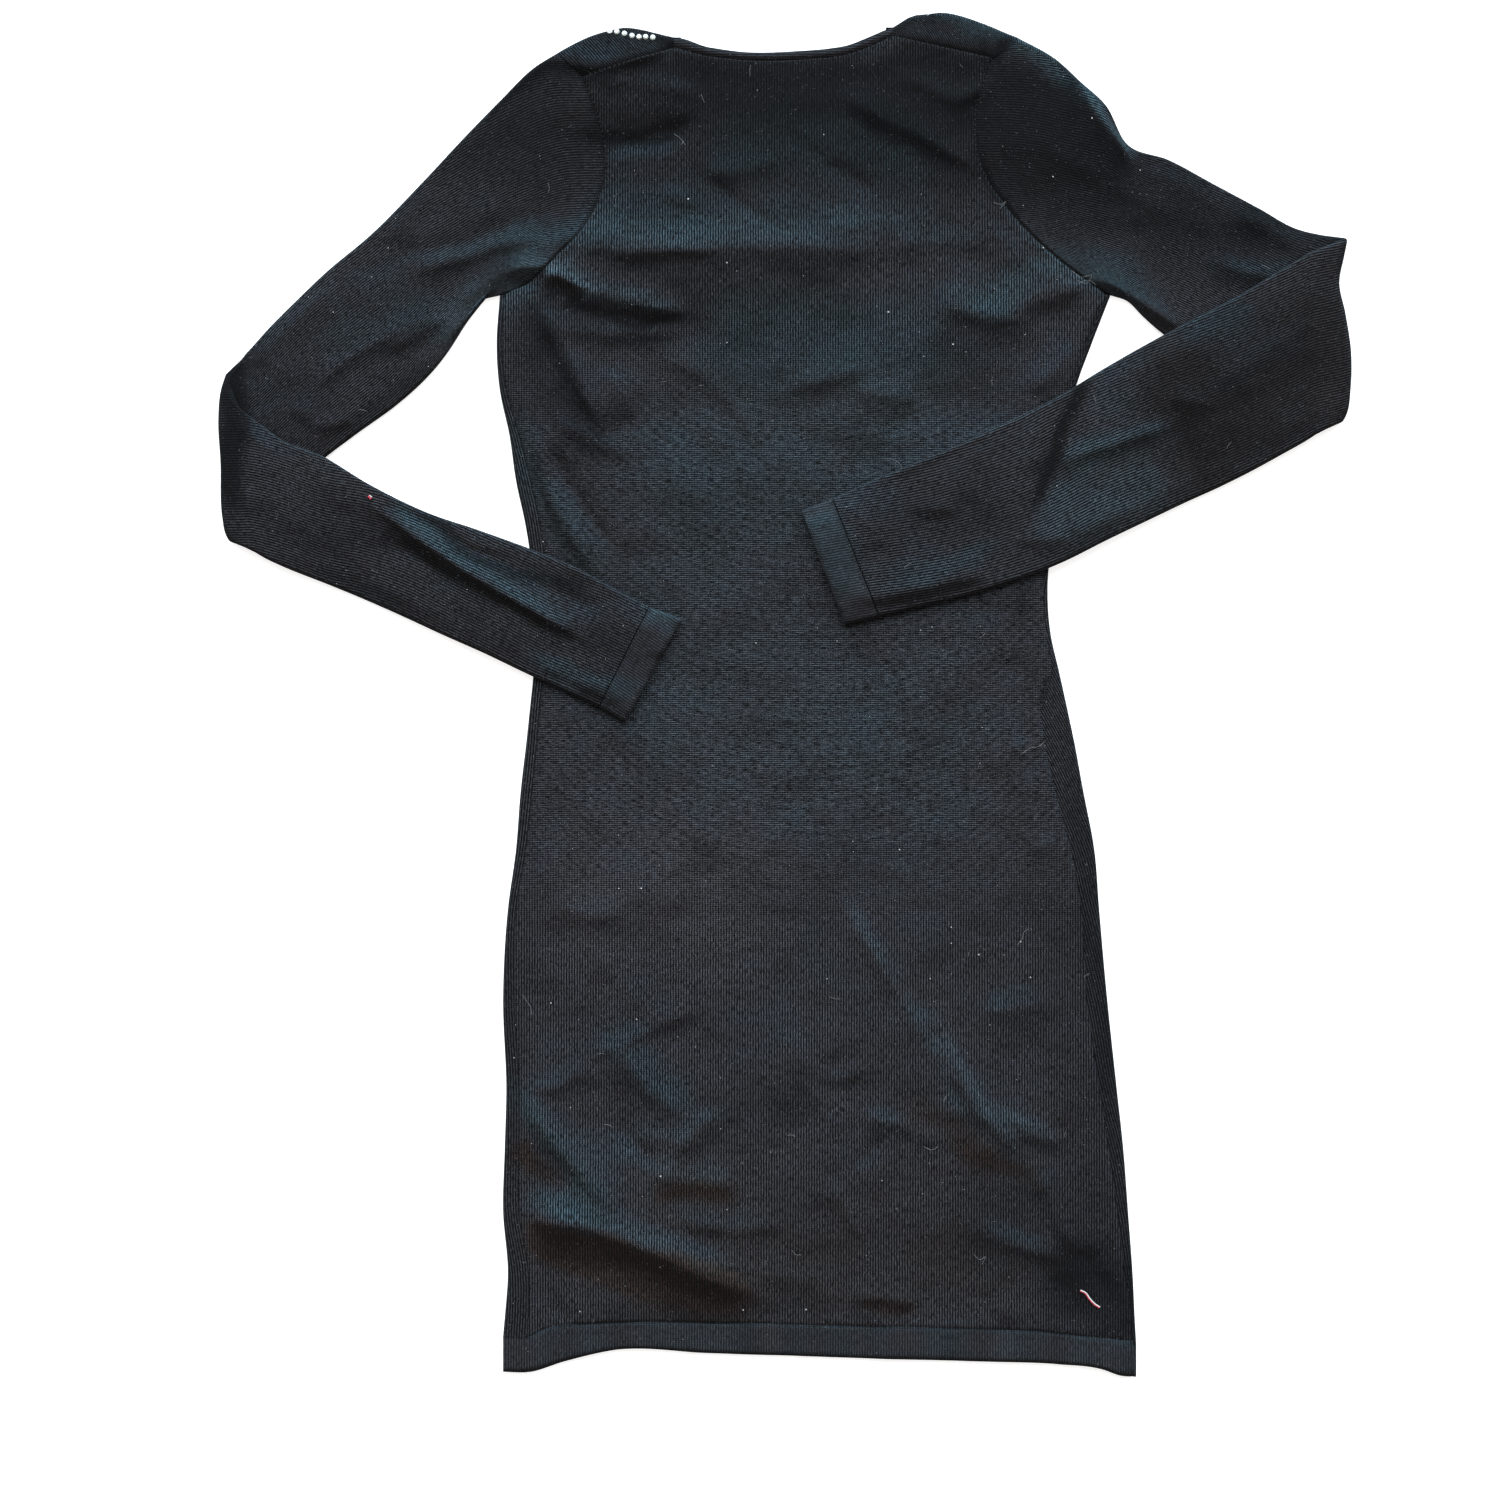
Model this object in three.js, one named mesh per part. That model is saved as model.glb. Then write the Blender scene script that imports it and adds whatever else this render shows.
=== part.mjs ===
// A long-sleeved bodycon dress in fine black knit, laid flat on its front, so that the back shows.
// Millimetres. +Z is up, +Y runs from the hem to the neck, and X runs across the dress.
// Each sewn piece is a wall of cloth. The front panel and front hem lie on the surface and turn over
// at both sides, the back lies on them, and each sleeve is a flattened tube that folds back at the
// elbow, so that its cuff comes to lie on the waist.

import * as THREE from 'three';

const wall = 1.2; // the knit
const hemWall = 1.5; // the same knit turned up double and pressed
const seamGap = 0.3; // between sewn pieces
const turnRadius = 2; // outside of the cloth where it turns over, so that the flat garment is 4 mm thick
const flat = 2 * turnRadius;
const backRest = flat - wall; // underside of the back panel along its left seam
const puff = 1.3; // how much the back panel rises away from its seams
const puffFade = { sides: 24, neckFrom: 786, neckTo: 808 }; // and where it comes back down to them
const lapOver = 5; // how far the back panel covers the front's turned edge on the right
const lapFrom = { seam: 18, raised: 42, full: 100 }; // heights where that lap starts
const lapTo = { full: 550, raised: 604, seam: 644 }; // and ends
const lapRise = flat + 2 * seamGap - backRest; // what lifts the back panel over that edge
const lapFade = { near: 9, far: 40 }; // how far from its own edge it stays up, and where it is down
const armholeGap = 0.45; // between armhole edge and sleeve head
const clearance = 1; // between a forearm and the back under it
const bridge = { near: 18, far: 46 }; // how far past an edge a forearm stays up, and where it is down
const sleeveFade = 16; // how far from a sleeve's edges its soft folds have their height

const cloth = new THREE.MeshStandardMaterial({ color: 0x1f2326, roughness: 0.92, metalness: 0 });
const band = new THREE.MeshStandardMaterial({ color: 0x1b1e21, roughness: 0.9, metalness: 0 });

// The body from hem to underarm: outline as laid, and how wide a lap of the front shows on the back.
const body = [
  { y: 30, left: -175, right: 218, lapLeft: 15, lapRight: 3 },
  { y: 66, left: -172, right: 216, lapLeft: 13, lapRight: 6 },
  { y: 104, left: -175, right: 213, lapLeft: 10, lapRight: 7 },
  { y: 141, left: -174, right: 210, lapLeft: 9, lapRight: 10 },
  { y: 178, left: -173, right: 206, lapLeft: 8, lapRight: 11 },
  { y: 234, left: -175, right: 200, lapLeft: 7, lapRight: 12 },
  { y: 290, left: -172, right: 195, lapLeft: 5, lapRight: 12 },
  { y: 327, left: -167, right: 192, lapLeft: 6, lapRight: 14 },
  { y: 364, left: -164, right: 185, lapLeft: 7, lapRight: 16 },
  { y: 407, left: -159, right: 177, lapLeft: 6, lapRight: 17 },
  { y: 432, left: -156, right: 171, lapLeft: 6, lapRight: 10 },
  { y: 460, left: -155, right: 165, lapLeft: 7, lapRight: 4 },
  { y: 490, left: -156, right: 163, lapLeft: 8, lapRight: 3 },
  { y: 528, left: -161, right: 167, lapLeft: 9, lapRight: 3 },
  { y: 556, left: -167, right: 170, lapLeft: 9, lapRight: 3 },
  { y: 584, left: -171, right: 175, lapLeft: 6, lapRight: 3 },
  { y: 612, left: -177, right: 180, lapLeft: 4, lapRight: 3 },
  { y: 640, left: -179, right: 190, lapLeft: 3, lapRight: 3 },
  { y: 671, left: -177, right: 202, lapLeft: 3, lapRight: 3 },
];

// The armhole seams from underarm to shoulder seam, and on to where the shoulder turns over.
const armhole = [
  { leftX: -177, leftY: 671, rightX: 202, rightY: 671 },
  { leftX: -162, leftY: 677, rightX: 188, rightY: 680 },
  { leftX: -146, leftY: 691, rightX: 163, rightY: 699 },
  { leftX: -126, leftY: 711, rightX: 141, rightY: 722 },
  { leftX: -112, leftY: 745, rightX: 122, rightY: 752 },
  { leftX: -116, leftY: 778, rightX: 119, rightY: 782 },
  { leftX: -126, leftY: 807, rightX: 130, rightY: 818 },
];
const shoulderTurn = { leftX: -140, leftY: 822, rightX: 144, rightY: 831 };

// Edges that run across the dress, each as a short table of points.
const hemEdge = [
  { x: -175, y: 3 }, { x: -158, y: 3 }, { x: -136, y: 10 }, { x: -105, y: 17 }, { x: -50, y: 15 },
  { x: 40, y: 12 }, { x: 110, y: 10 }, { x: 170, y: 8 },
  { x: 197, y: 5 }, { x: 208, y: 1 }, { x: 218, y: 0 },
];
const hemSeam = [
  { x: -175, y: 25 }, { x: -158, y: 25 }, { x: -150, y: 29 }, { x: -120, y: 33 }, { x: -70, y: 34 },
  { x: 10, y: 32 }, { x: 100, y: 30 }, { x: 170, y: 27 }, { x: 205, y: 22 }, { x: 218, y: 20 },
];
const backNeck = [
  { x: -126, y: 807 }, { x: -69, y: 825 }, { x: -52, y: 820.5 }, { x: -30, y: 817.5 },
  { x: 15, y: 817.8 }, { x: 38, y: 820.5 }, { x: 50, y: 824.5 }, { x: 67, y: 832 }, { x: 130, y: 818 },
];
const frontTurn = [
  { x: -140, y: 822 }, { x: -122, y: 831 }, { x: -102, y: 837 }, { x: -88, y: 836 }, { x: -69, y: 832 },
  { x: 67, y: 838 }, { x: 79, y: 844.5 }, { x: 98, y: 846.5 }, { x: 120, y: 841 }, { x: 144, y: 831 },
];
const backNeckPoint = { left: -69, right: 67 }; // where the shoulder seams meet the neck
const neckBandWidth = 4.5;
const frontNeck = { left: -42, right: 45, sag: 14, row: 7 }; // the foot of the front neck, under the back

// The sleeves as laid: both edges of each station, outer edge first. The stations before the elbow lie
// on the surface, and those after it lie on top, back towards the waist.
const sleeves = {
  left: {
    outward: -1,
    upper: [
      { ax: -140, ay: 822, bx: -177, by: 671, blend: 1 },
      { ax: -156, ay: 812, bx: -190, by: 667, blend: 0.75 },
      { ax: -176, ay: 792.5, bx: -199, by: 652, blend: 0.45 },
      { ax: -198, ay: 770, bx: -209, by: 636, blend: 0.2 },
      { ax: -226, ay: 740, bx: -222, by: 620, blend: 0 },
      { ax: -256, ay: 709.5, bx: -242, by: 602, blend: 0 },
      { ax: -284, ay: 686, bx: -267, by: 584, blend: 0 },
      { ax: -308, ay: 663, bx: -293, by: 564, blend: 0 },
      { ax: -328, ay: 643, bx: -319, by: 540, blend: 0 },
      { ax: -341, ay: 631, bx: -341, by: 520, blend: 0 },
    ],
    elbow: { ax: -344, ay: 622, bx: -345, by: 518 },
    fore: [
      { ax: -335, ay: 600, bx: -330, by: 511 },
      { ax: -312, ay: 581, bx: -308, by: 501 },
      { ax: -287, ay: 571, bx: -285, by: 492 },
      { ax: -257, ay: 553, bx: -263, by: 483 },
      { ax: -222, ay: 536, bx: -238, by: 472 },
      { ax: -190, ay: 525, bx: -212, by: 460 },
      { ax: -157, ay: 513, bx: -185, by: 448 },
      { ax: -130, ay: 502, bx: -160, by: 436 },
      { ax: -106, ay: 489, bx: -136, by: 425 },
      { ax: -84, ay: 477, bx: -115, by: 415 },
    ],
    cuffEnd: { ax: -64, ay: 470, bx: -99, by: 406 },
  },
  right: {
    outward: 1,
    upper: [
      { ax: 144, ay: 831, bx: 202, by: 671, blend: 1 },
      { ax: 166, ay: 819, bx: 213, by: 667, blend: 0.75 },
      { ax: 184, ay: 803, bx: 223, by: 657, blend: 0.45 },
      { ax: 199, ay: 789, bx: 232, by: 649, blend: 0.2 },
      { ax: 212, ay: 765, bx: 243, by: 641, blend: 0 },
      { ax: 238, ay: 755, bx: 261, by: 630, blend: 0 },
      { ax: 266, ay: 740, bx: 281, by: 620, blend: 0 },
      { ax: 294, ay: 725, bx: 303, by: 610, blend: 0 },
      { ax: 318, ay: 712, bx: 325, by: 600, blend: 0 },
      { ax: 339, ay: 707, bx: 340, by: 594, blend: 0 },
    ],
    elbow: { ax: 345, ay: 706, bx: 344, by: 592 },
    fore: [
      { ax: 325, ay: 697, bx: 330, by: 584 },
      { ax: 302, ay: 683, bx: 310, by: 573 },
      { ax: 277, ay: 668, bx: 290, by: 562 },
      { ax: 250, ay: 654, bx: 270, by: 552 },
      { ax: 222, ay: 639, bx: 248, by: 542 },
      { ax: 196, ay: 624, bx: 225, by: 531 },
      { ax: 170, ay: 608, bx: 200, by: 519 },
      { ax: 142, ay: 594, bx: 172, by: 505 },
      { ax: 112, ay: 580, bx: 144, by: 494 },
      { ax: 82, ay: 567, bx: 112, by: 484 },
      { ax: 52, ay: 555, bx: 83, by: 477 },
      { ax: 29, ay: 544, bx: 58, by: 471 },
    ],
    cuffEnd: { ax: 10, ay: 537, bx: 37, by: 466 },
  },
};

// The largest soft folds: a crest from one end to the other, its height, and how far it spreads on
// its upper side (towards the neck) and its lower side.
const backFolds = [
  { x1: -156, y1: 683, x2: -70, y2: 660, height: 6, above: 16, below: 7 },
  { x1: -140, y1: 704, x2: 66, y2: 700, height: 4.5, above: 26, below: 12 },
  { x1: -114, y1: 764, x2: -60, y2: 772, height: -3, above: 9, below: 9 },
  { x1: 30, y1: 800, x2: 112, y2: 758, height: 3, above: 16, below: 10 },
  { x1: 188, y1: 672, x2: 112, y2: 652, height: 4, above: 14, below: 10 },
  { x1: -158, y1: 656, x2: -118, y2: 590, height: 4, above: 22, below: 6 },
  { x1: -140, y1: 574, x2: -96, y2: 506, height: 3.5, above: 12, below: 8 },
  { x1: -166, y1: 180, x2: -104, y2: 98, height: 4, above: 14, below: 14 },
  { x1: -164, y1: 100, x2: 0, y2: 66, height: 6.5, above: 20, below: 14 },
  { x1: -90, y1: 122, x2: -14, y2: 116, height: 3.5, above: 16, below: 10 },
  { x1: 24, y1: 282, x2: 150, y2: 136, height: 3.5, above: 14, below: 12 },
  { x1: 120, y1: 100, x2: 172, y2: 80, height: 3, above: 14, below: 10 },
];
const sleeveFolds = [
  { x1: -134, y1: 708, x2: -250, y2: 668, height: 3, above: 16, below: 10 },
  { x1: -252, y1: 560, x2: -140, y2: 478, height: 3.5, above: 9, below: 5 },
  { x1: 196, y1: 784, x2: 206, y2: 748, height: -3, above: 8, below: 8 },
  { x1: 176, y1: 580, x2: 250, y2: 600, height: 2.5, above: 12, below: 10 },
];

const smooth = (value, low, high) => THREE.MathUtils.smoothstep(value, low, high);
const { lerp, clamp } = THREE.MathUtils;

// A column of a table at a place along it, straight from one row to the next.
function along(table, key, at, column) {
  const next = table.findIndex((row) => row[key] >= at);
  if (next === 0) return table[0][column];
  if (next < 0) return table.at(-1)[column];
  const [a, b] = [table[next - 1], table[next]];
  return lerp(a[column], b[column], (at - a[key]) / (b[key] - a[key]));
}

// Height of the soft folds at a point.
function foldHeight(folds, x, y) {
  let height = 0;
  for (const fold of folds) {
    const [dx, dy] = [fold.x2 - fold.x1, fold.y2 - fold.y1];
    const length = Math.hypot(dx, dy);
    const share = ((x - fold.x1) * dx + (y - fold.y1) * dy) / length ** 2;
    const side = Math.sign(dx || 1) * ((y - fold.y1) * dx - (x - fold.x1) * dy) / length;
    const spread = side > 0 ? fold.above : fold.below;
    const ends = smooth(share, -0.1, 0.25) * (1 - smooth(share, 0.75, 1.1));
    height += fold.height * ends * Math.exp(-((side / spread) ** 2));
  }
  return height;
}

// A closed wall of cloth from a grid of points, each with an outer and an inner place. A ring joins
// its last column to its first, and `has` leaves out the cells that hold no cloth.
function clothWall(grid, { ring = false, has = () => true } = {}) {
  const rows = grid.length - 1;
  const wide = grid[0].length;
  const columns = ring ? wide : wide - 1;
  const position = [];
  const index = [];
  const made = new Map();
  const corner = ([row, column], side) => {
    const key = `${row} ${column % wide} ${side}`;
    if (!made.has(key)) {
      made.set(key, position.length / 3);
      position.push(...grid[row][column % wide][side].toArray());
    }
    return made.get(key);
  };
  const face = (a, b, c, d) => index.push(a, b, c, a, c, d);
  const cell = (row, column) => {
    const at = ring ? (column + columns) % columns : column;
    return row >= 0 && row < rows && at >= 0 && at < columns && has(row, at);
  };
  for (let row = 0; row < rows; row += 1) {
    for (let column = 0; column < columns; column += 1) {
      if (!cell(row, column)) continue;
      const corners = [[row, column], [row, column + 1], [row + 1, column + 1], [row + 1, column]];
      const beyond = [
        cell(row - 1, column), cell(row, column + 1), cell(row + 1, column), cell(row, column - 1),
      ];
      face(...corners.map((at) => corner(at, 'outer')));
      face(...corners.map((at) => corner(at, 'inner')).reverse());
      corners.forEach((from, edge) => {
        const to = corners[(edge + 1) % 4];
        if (beyond[edge]) return;
        face(corner(from, 'inner'), corner(to, 'inner'), corner(to, 'outer'), corner(from, 'outer'));
      });
    }
  }
  if (signedVolume(position, index) < 0) index.reverse();
  const geometry = new THREE.BufferGeometry();
  geometry.setAttribute('position', new THREE.Float32BufferAttribute(position, 3));
  geometry.setIndex(index);
  geometry.computeVertexNormals();
  return geometry;
}

function signedVolume(position, index) {
  const at = (i) => new THREE.Vector3().fromArray(position, 3 * i);
  let volume = 0;
  for (let i = 0; i < index.length; i += 3) {
    volume += at(index[i]).dot(at(index[i + 1]).cross(at(index[i + 2]))) / 6;
  }
  return volume;
}

// The armhole seams, sampled once, so that panels and sleeve heads meet point to point.
const seamShares = [0, 0.06, 0.14, 0.24, 0.35, 0.46, 0.58, 0.7, 0.85, 1];

function armholeSeam(side) {
  const points = armhole.map((at) => new THREE.Vector3(at[`${side}X`], at[`${side}Y`], 0));
  const path = new THREE.CatmullRomCurve3(points, false, 'centripetal');
  return seamShares.map((share) => path.getPointAt(share));
}
const seams = { left: armholeSeam('left'), right: armholeSeam('right') };
const turns = {
  left: new THREE.Vector3(shoulderTurn.leftX, shoulderTurn.leftY, 0),
  right: new THREE.Vector3(shoulderTurn.rightX, shoulderTurn.rightY, 0),
};

// The body's two side edges of the back panel, and how far the front's lap goes under the right one.
const lapStart = (y) => along(body, 'y', y, 'left') + along(body, 'y', y, 'lapLeft');
const lapEnd = (y) => along(body, 'y', y, 'right') - along(body, 'y', y, 'lapRight');
const lapUnder = (y) => lerp(
  -seamGap, lapOver, smooth(y, lapFrom.raised, lapFrom.full) * (1 - smooth(y, lapTo.full, lapTo.raised)),
);

// Underside of the back panel: raised over the lap on the right, puffed inside its seams, and folded.
function backUnderside(x, y, left, right) {
  const lapped = smooth(y, lapFrom.seam, lapFrom.raised) * (1 - smooth(y, lapTo.raised, lapTo.seam));
  const overLap = lapRise * lapped * (1 - smooth(right - x, lapFade.near, lapFade.far));
  const soft = smooth(Math.min(x - left, right - x), 0, puffFade.sides)
    * (1 - smooth(y, puffFade.neckFrom, puffFade.neckTo));
  return backRest + overLap + (puff + Math.max(-puff, foldHeight(backFolds, x, y))) * soft;
}

// Top of the body under a forearm, which comes down to the surface past the body's edge.
function bodyTop(x, y) {
  const row = clamp(y, body[0].y, body.at(-1).y);
  const [left, right] = [lapStart(row) + seamGap, lapEnd(row)];
  const outside = Math.max(along(body, 'y', row, 'left') - x, x - along(body, 'y', row, 'right'));
  const top = backUnderside(clamp(x, left, right), y, left, right) + wall;
  return (top + clearance) * (1 - smooth(outside, bridge.near, bridge.far));
}

// Fractions across the back, closer together near its edges, and the two that fall on the neck points.
const across = [
  0, 0.02, 0.055, 0.1, 0.15, 0.2, 0.25, 0.3, 0.35, 0.4, 0.45, 0.5, 0.55, 0.6, 0.65, 0.7, 0.75, 0.8, 0.85,
  0.9, 0.945, 0.985, 1,
];
const neckShares = { left: 0.2, right: 0.75 };
const bodyRowStep = 21;

// Rows of a panel from the hem seam to the underarm, then up the armholes: its two ends at each.
function panelRows(leftOf, rightOf) {
  const first = body[0].y + seamGap / 2;
  const last = body.at(-1).y;
  const count = Math.round((last - first) / bodyRowStep);
  const rows = [];
  for (let i = 0; i < count; i += 1) {
    const y = lerp(first, last, i / count);
    rows.push({ left: new THREE.Vector3(leftOf(y), y, 0), right: new THREE.Vector3(rightOf(y), y, 0) });
  }
  const underarm = rows.length;
  seams.left.forEach((left, i) => rows.push({ left: left.clone(), right: seams.right[i].clone() }));
  rows[underarm].left.x = leftOf(last);
  rows[underarm].right.x = rightOf(last);
  return { rows, underarm };
}

const straightAcross = ({ left, right }, x) => lerp(left.y, right.y, (x - left.x) / (right.x - left.x));
const shapedRows = 5; // rows over which the hem's and the neck's curves die away

function backGrid() {
  const { rows } = panelRows((y) => lapStart(y) + seamGap, lapEnd);
  const top = rows.at(-1);
  const neckCurve = across.map((share) => {
    const x = neckColumn(share, top.left.x, top.right.x, backNeckPoint, neckShares);
    return along(backNeck, 'x', x, 'y') - straightAcross(top, x);
  });
  return rows.map(({ left, right }, i) => across.map((share, column) => {
    const hemPart = Math.max(0, 1 - i / shapedRows);
    const neckPart = Math.max(0, 1 - (rows.length - 1 - i) / shapedRows);
    const atNeck = neckColumn(share, left.x, right.x, backNeckPoint, neckShares);
    const x = lerp(lerp(left.x, right.x, share), atNeck, neckPart);
    const y = straightAcross({ left, right }, x) + neckPart * neckCurve[column]
      + hemPart * (along(hemSeam, 'x', x, 'y') + seamGap - body[0].y);
    const low = backUnderside(x, y, left.x, right.x);
    return { inner: new THREE.Vector3(x, y, low), outer: new THREE.Vector3(x, y, low + wall) };
  }));
}

// A fraction's place across a row that is split at the two sides of the neck.
function neckColumn(share, from, to, neck, at) {
  if (share <= at.left) return lerp(from, neck.left, share / at.left);
  if (share >= at.right) return lerp(neck.right, to, (share - at.right) / (1 - at.right));
  return lerp(neck.left, neck.right, (share - at.left) / (at.right - at.left));
}

// Half a turn of cloth at an edge that faces `towards`, from the top layer (share 0) to the bottom (1).
const turnSteps = [0, 0.25, 0.5, 0.75, 1];

function turned(edge, towards, share, thick) {
  const angle = Math.PI * share;
  const at = (radius) => new THREE.Vector3(
    edge.x - towards.x * (turnRadius - radius * Math.sin(angle)),
    edge.y - towards.y * (turnRadius - radius * Math.sin(angle)),
    turnRadius + radius * Math.cos(angle),
  );
  return { outer: at(turnRadius), inner: at(turnRadius - thick) };
}

const layerPoint = (x, y, onTop, thick) => ({
  outer: new THREE.Vector3(x, y, onTop ? flat : 0),
  inner: new THREE.Vector3(x, y, onTop ? flat - thick : thick),
});

// The part of the front on the surface has so many columns in each strap, and between them.
const strapColumns = 4;
const neckColumns = 4;
const surfaceColumns = 2 * strapColumns + neckColumns;
const surfaceShares = Array.from({ length: surfaceColumns + 1 }, (_, i) => i / surfaceColumns);
const surfaceStart = turnSteps.length; // columns of lap and turn before it
const west = { x: -1, y: 0 };
const east = { x: 1, y: 0 };
const north = { x: 0, y: 1 };

// One row of the front: its lap on the back, the turn at the left, the part on the surface, the turn
// at the right and the lap there. `yAt` gives each point's place along the dress.
function frontRow(left, right, lapLeftX, lapRightX, yAt, thick) {
  const lapPoint = (x) => layerPoint(x, yAt(x), true, thick);
  const turn = (x, side, share) => turned({ x, y: yAt(x) }, side, share, thick);
  const surface = surfaceShares.slice(1, -1).map((share) => {
    const x = lerp(left + turnRadius, right - turnRadius, share);
    return layerPoint(x, yAt(x), false, thick);
  });
  return [
    lapPoint(lapLeftX),
    ...turnSteps.map((share) => turn(left, west, share)),
    ...surface,
    ...turnSteps.map((share) => turn(right, east, 1 - share)),
    lapPoint(lapRightX),
  ];
}

function frontGrid() {
  const { rows, underarm } = panelRows(
    (y) => along(body, 'y', y, 'left'),
    (y) => along(body, 'y', y, 'right'),
  );
  const grid = rows.map(({ left, right }, i) => {
    if (i > underarm) return armholeRow(left, right, i - underarm);
    const hemPart = Math.max(0, 1 - i / shapedRows);
    const { y } = left;
    const yAt = (x) => y + hemPart * (along(hemSeam, 'x', x, 'y') + seamGap - body[0].y);
    return frontRow(left.x, right.x, lapStart(y), lapEnd(y) - lapUnder(y), yAt, wall);
  });
  return { grid: [...grid, ...shoulderRows(grid.at(-1))], underarm };
}

// A row of the front above the underarm, drawn in to the sides of the neck as it goes up.
function armholeRow(left, right, above) {
  const drawn = Math.min(1, above / frontNeck.row);
  const open = Math.sqrt(Math.max(0, above - frontNeck.row) / (seamShares.length - 1 - frontNeck.row));
  const neck = {
    left: lerp(frontNeck.left, backNeckPoint.left, open),
    right: lerp(frontNeck.right, backNeckPoint.right, open),
  };
  const at = { left: strapColumns / surfaceColumns, right: 1 - strapColumns / surfaceColumns };
  const middle = surfaceShares.map((share) => {
    const x = lerp(lerp(left.x, right.x, share), neckColumn(share, left.x, right.x, neck, at), drawn);
    const fromMiddle = (2 * x - neck.left - neck.right) / (neck.right - neck.left);
    const sag = frontNeck.sag * drawn ** 2 * Math.max(0, 1 - fromMiddle ** 2);
    return layerPoint(x, straightAcross({ left, right }, x) - sag, false, wall);
  });
  const unused = Array(surfaceStart).fill(middle[0]);
  return [...unused, ...middle, ...unused];
}

// The straps turn over at the top of the shoulders and come down to the shoulder seams.
function shoulderRows(below) {
  const edge = below.map(({ outer }, column) => {
    const fromEnd = Math.min(column - surfaceStart, surfaceStart + surfaceColumns - column) / strapColumns;
    const side = outer.x < 0 ? 'left' : 'right';
    const x = outer.x + lerp(turns[side].x - seams[side].at(-1).x, 0, clamp(fromEnd, 0, 1));
    return { x, y: along(frontTurn, 'x', x, 'y') };
  });
  const seam = below.map(({ outer }) => layerPoint(
    outer.x, along(backNeck, 'x', outer.x, 'y') + seamGap, true, wall,
  ));
  const round = turnSteps.toReversed().map((share) => edge.map((at) => turned(at, north, share, wall)));
  return [...round, seam];
}

const front = frontGrid();

function frontPanel() {
  const last = front.grid[0].length - 2;
  const surfaceEnd = surfaceStart + surfaceColumns;
  const has = (row, column) => {
    if (row < front.underarm) return column <= last;
    if (column < surfaceStart || column >= surfaceEnd) return false;
    const inNeck = column >= surfaceStart + strapColumns && column < surfaceEnd - strapColumns;
    return !inNeck || row < front.underarm + frontNeck.row;
  };
  return clothWall(front.grid, { has });
}

// The hem bands follow both edges of the hem, and the front one turns over at the sides with its panel.
const bandShares = [0, 0.5, 1];
const hemLine = (x, share) => lerp(
  along(hemEdge, 'x', x, 'y'), along(hemSeam, 'x', x, 'y') - seamGap, share,
);

function backHem() {
  const { y, left, right, lapLeft, lapRight } = body[0];
  const [from, to] = [left + lapLeft + seamGap, right - lapRight];
  return clothWall(bandShares.map((share) => across.map((place) => {
    const x = lerp(from, to, place);
    const low = backUnderside(x, y, from, to) + (wall - hemWall) / 2;
    return {
      inner: new THREE.Vector3(x, hemLine(x, share), low),
      outer: new THREE.Vector3(x, hemLine(x, share), low + hemWall),
    };
  })));
}

function frontHem() {
  const { left, right, lapLeft, lapRight } = body[0];
  const rows = bandShares.map((share) => frontRow(
    left, right, left + lapLeft, right - lapRight + seamGap, (x) => hemLine(x, share), hemWall,
  ));
  return clothWall(rows);
}

// A neck band from the points of a panel's neck edge, each with the way into the neck.
function neckBand(edge) {
  const moved = (point, way, by) => point.clone().addScaledVector(way, by);
  return clothWall([seamGap, neckBandWidth].map((by) => edge.map(({ point, way }) => ({
    outer: moved(point.outer, way, by),
    inner: moved(point.inner, way, by),
  }))));
}

function backNeckBand() {
  const [first, last] = [neckShares.left, neckShares.right].map((share) => across.indexOf(share));
  const points = backGrid().at(-1).slice(first, last + 1);
  const way = new THREE.Vector3(0, 1, 0);
  const clear = neckBandWidth + seamGap; // of the front band, which starts beside the shoulder seam
  const shifted = points.map((point, i) => {
    const by = i === 0 ? clear : i === points.length - 1 ? -clear : 0;
    const x = point.outer.x + by;
    const y = by ? along(backNeck, 'x', x, 'y') : point.outer.y;
    return { point: layerPoint(x, y, true, wall), way };
  });
  return neckBand(shifted);
}

function frontNeckBand() {
  const { grid, underarm } = front;
  const foot = underarm + frontNeck.row;
  const leftColumn = surfaceStart + strapColumns;
  const rightColumn = leftColumn + neckColumns;
  const sideOf = (column, way) => grid.slice(foot + 1).map((row) => ({ point: row[column], way }));
  const leftSide = sideOf(leftColumn, new THREE.Vector3(1, 0, 0));
  const rightSide = sideOf(rightColumn, new THREE.Vector3(-1, 0, 0));
  const bottom = grid[foot].slice(leftColumn, rightColumn + 1).map((point, i) => ({
    point, way: new THREE.Vector3(i === 0 ? 1 : i === neckColumns ? -1 : 0, 1, 0),
  }));
  return neckBand([...leftSide.toReversed(), ...bottom, ...rightSide]);
}

// Places round a flattened sleeve: the share of its width from its outer edge, and for its two turns
// how far along and how high on them. The flat ones meet the armhole seam point to point.
const shoulderShare = 0.1; // of the sleeve's width, from its outer edge to the shoulder seam
const ringShares = seamShares.slice(1).toReversed().map((share) => 1 - (1 - shoulderShare) * share ** 0.9);

function ringPlaces() {
  const seamAt = seamShares.slice(1).map((_, i) => seamShares.length - 1 - i);
  const layer = (height) => ringShares.map((share, i) => ({ share, seam: seamAt[i], height }));
  const turn = (end, seam) => turnSteps.map((share) => ({ end, seam, angle: Math.PI * (0.5 - share) }));
  return [
    ...layer(1),
    ...turn('b', 0),
    ...layer(-1).toReversed(),
    ...turn('a', seamShares.length).toReversed(),
  ];
}

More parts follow.
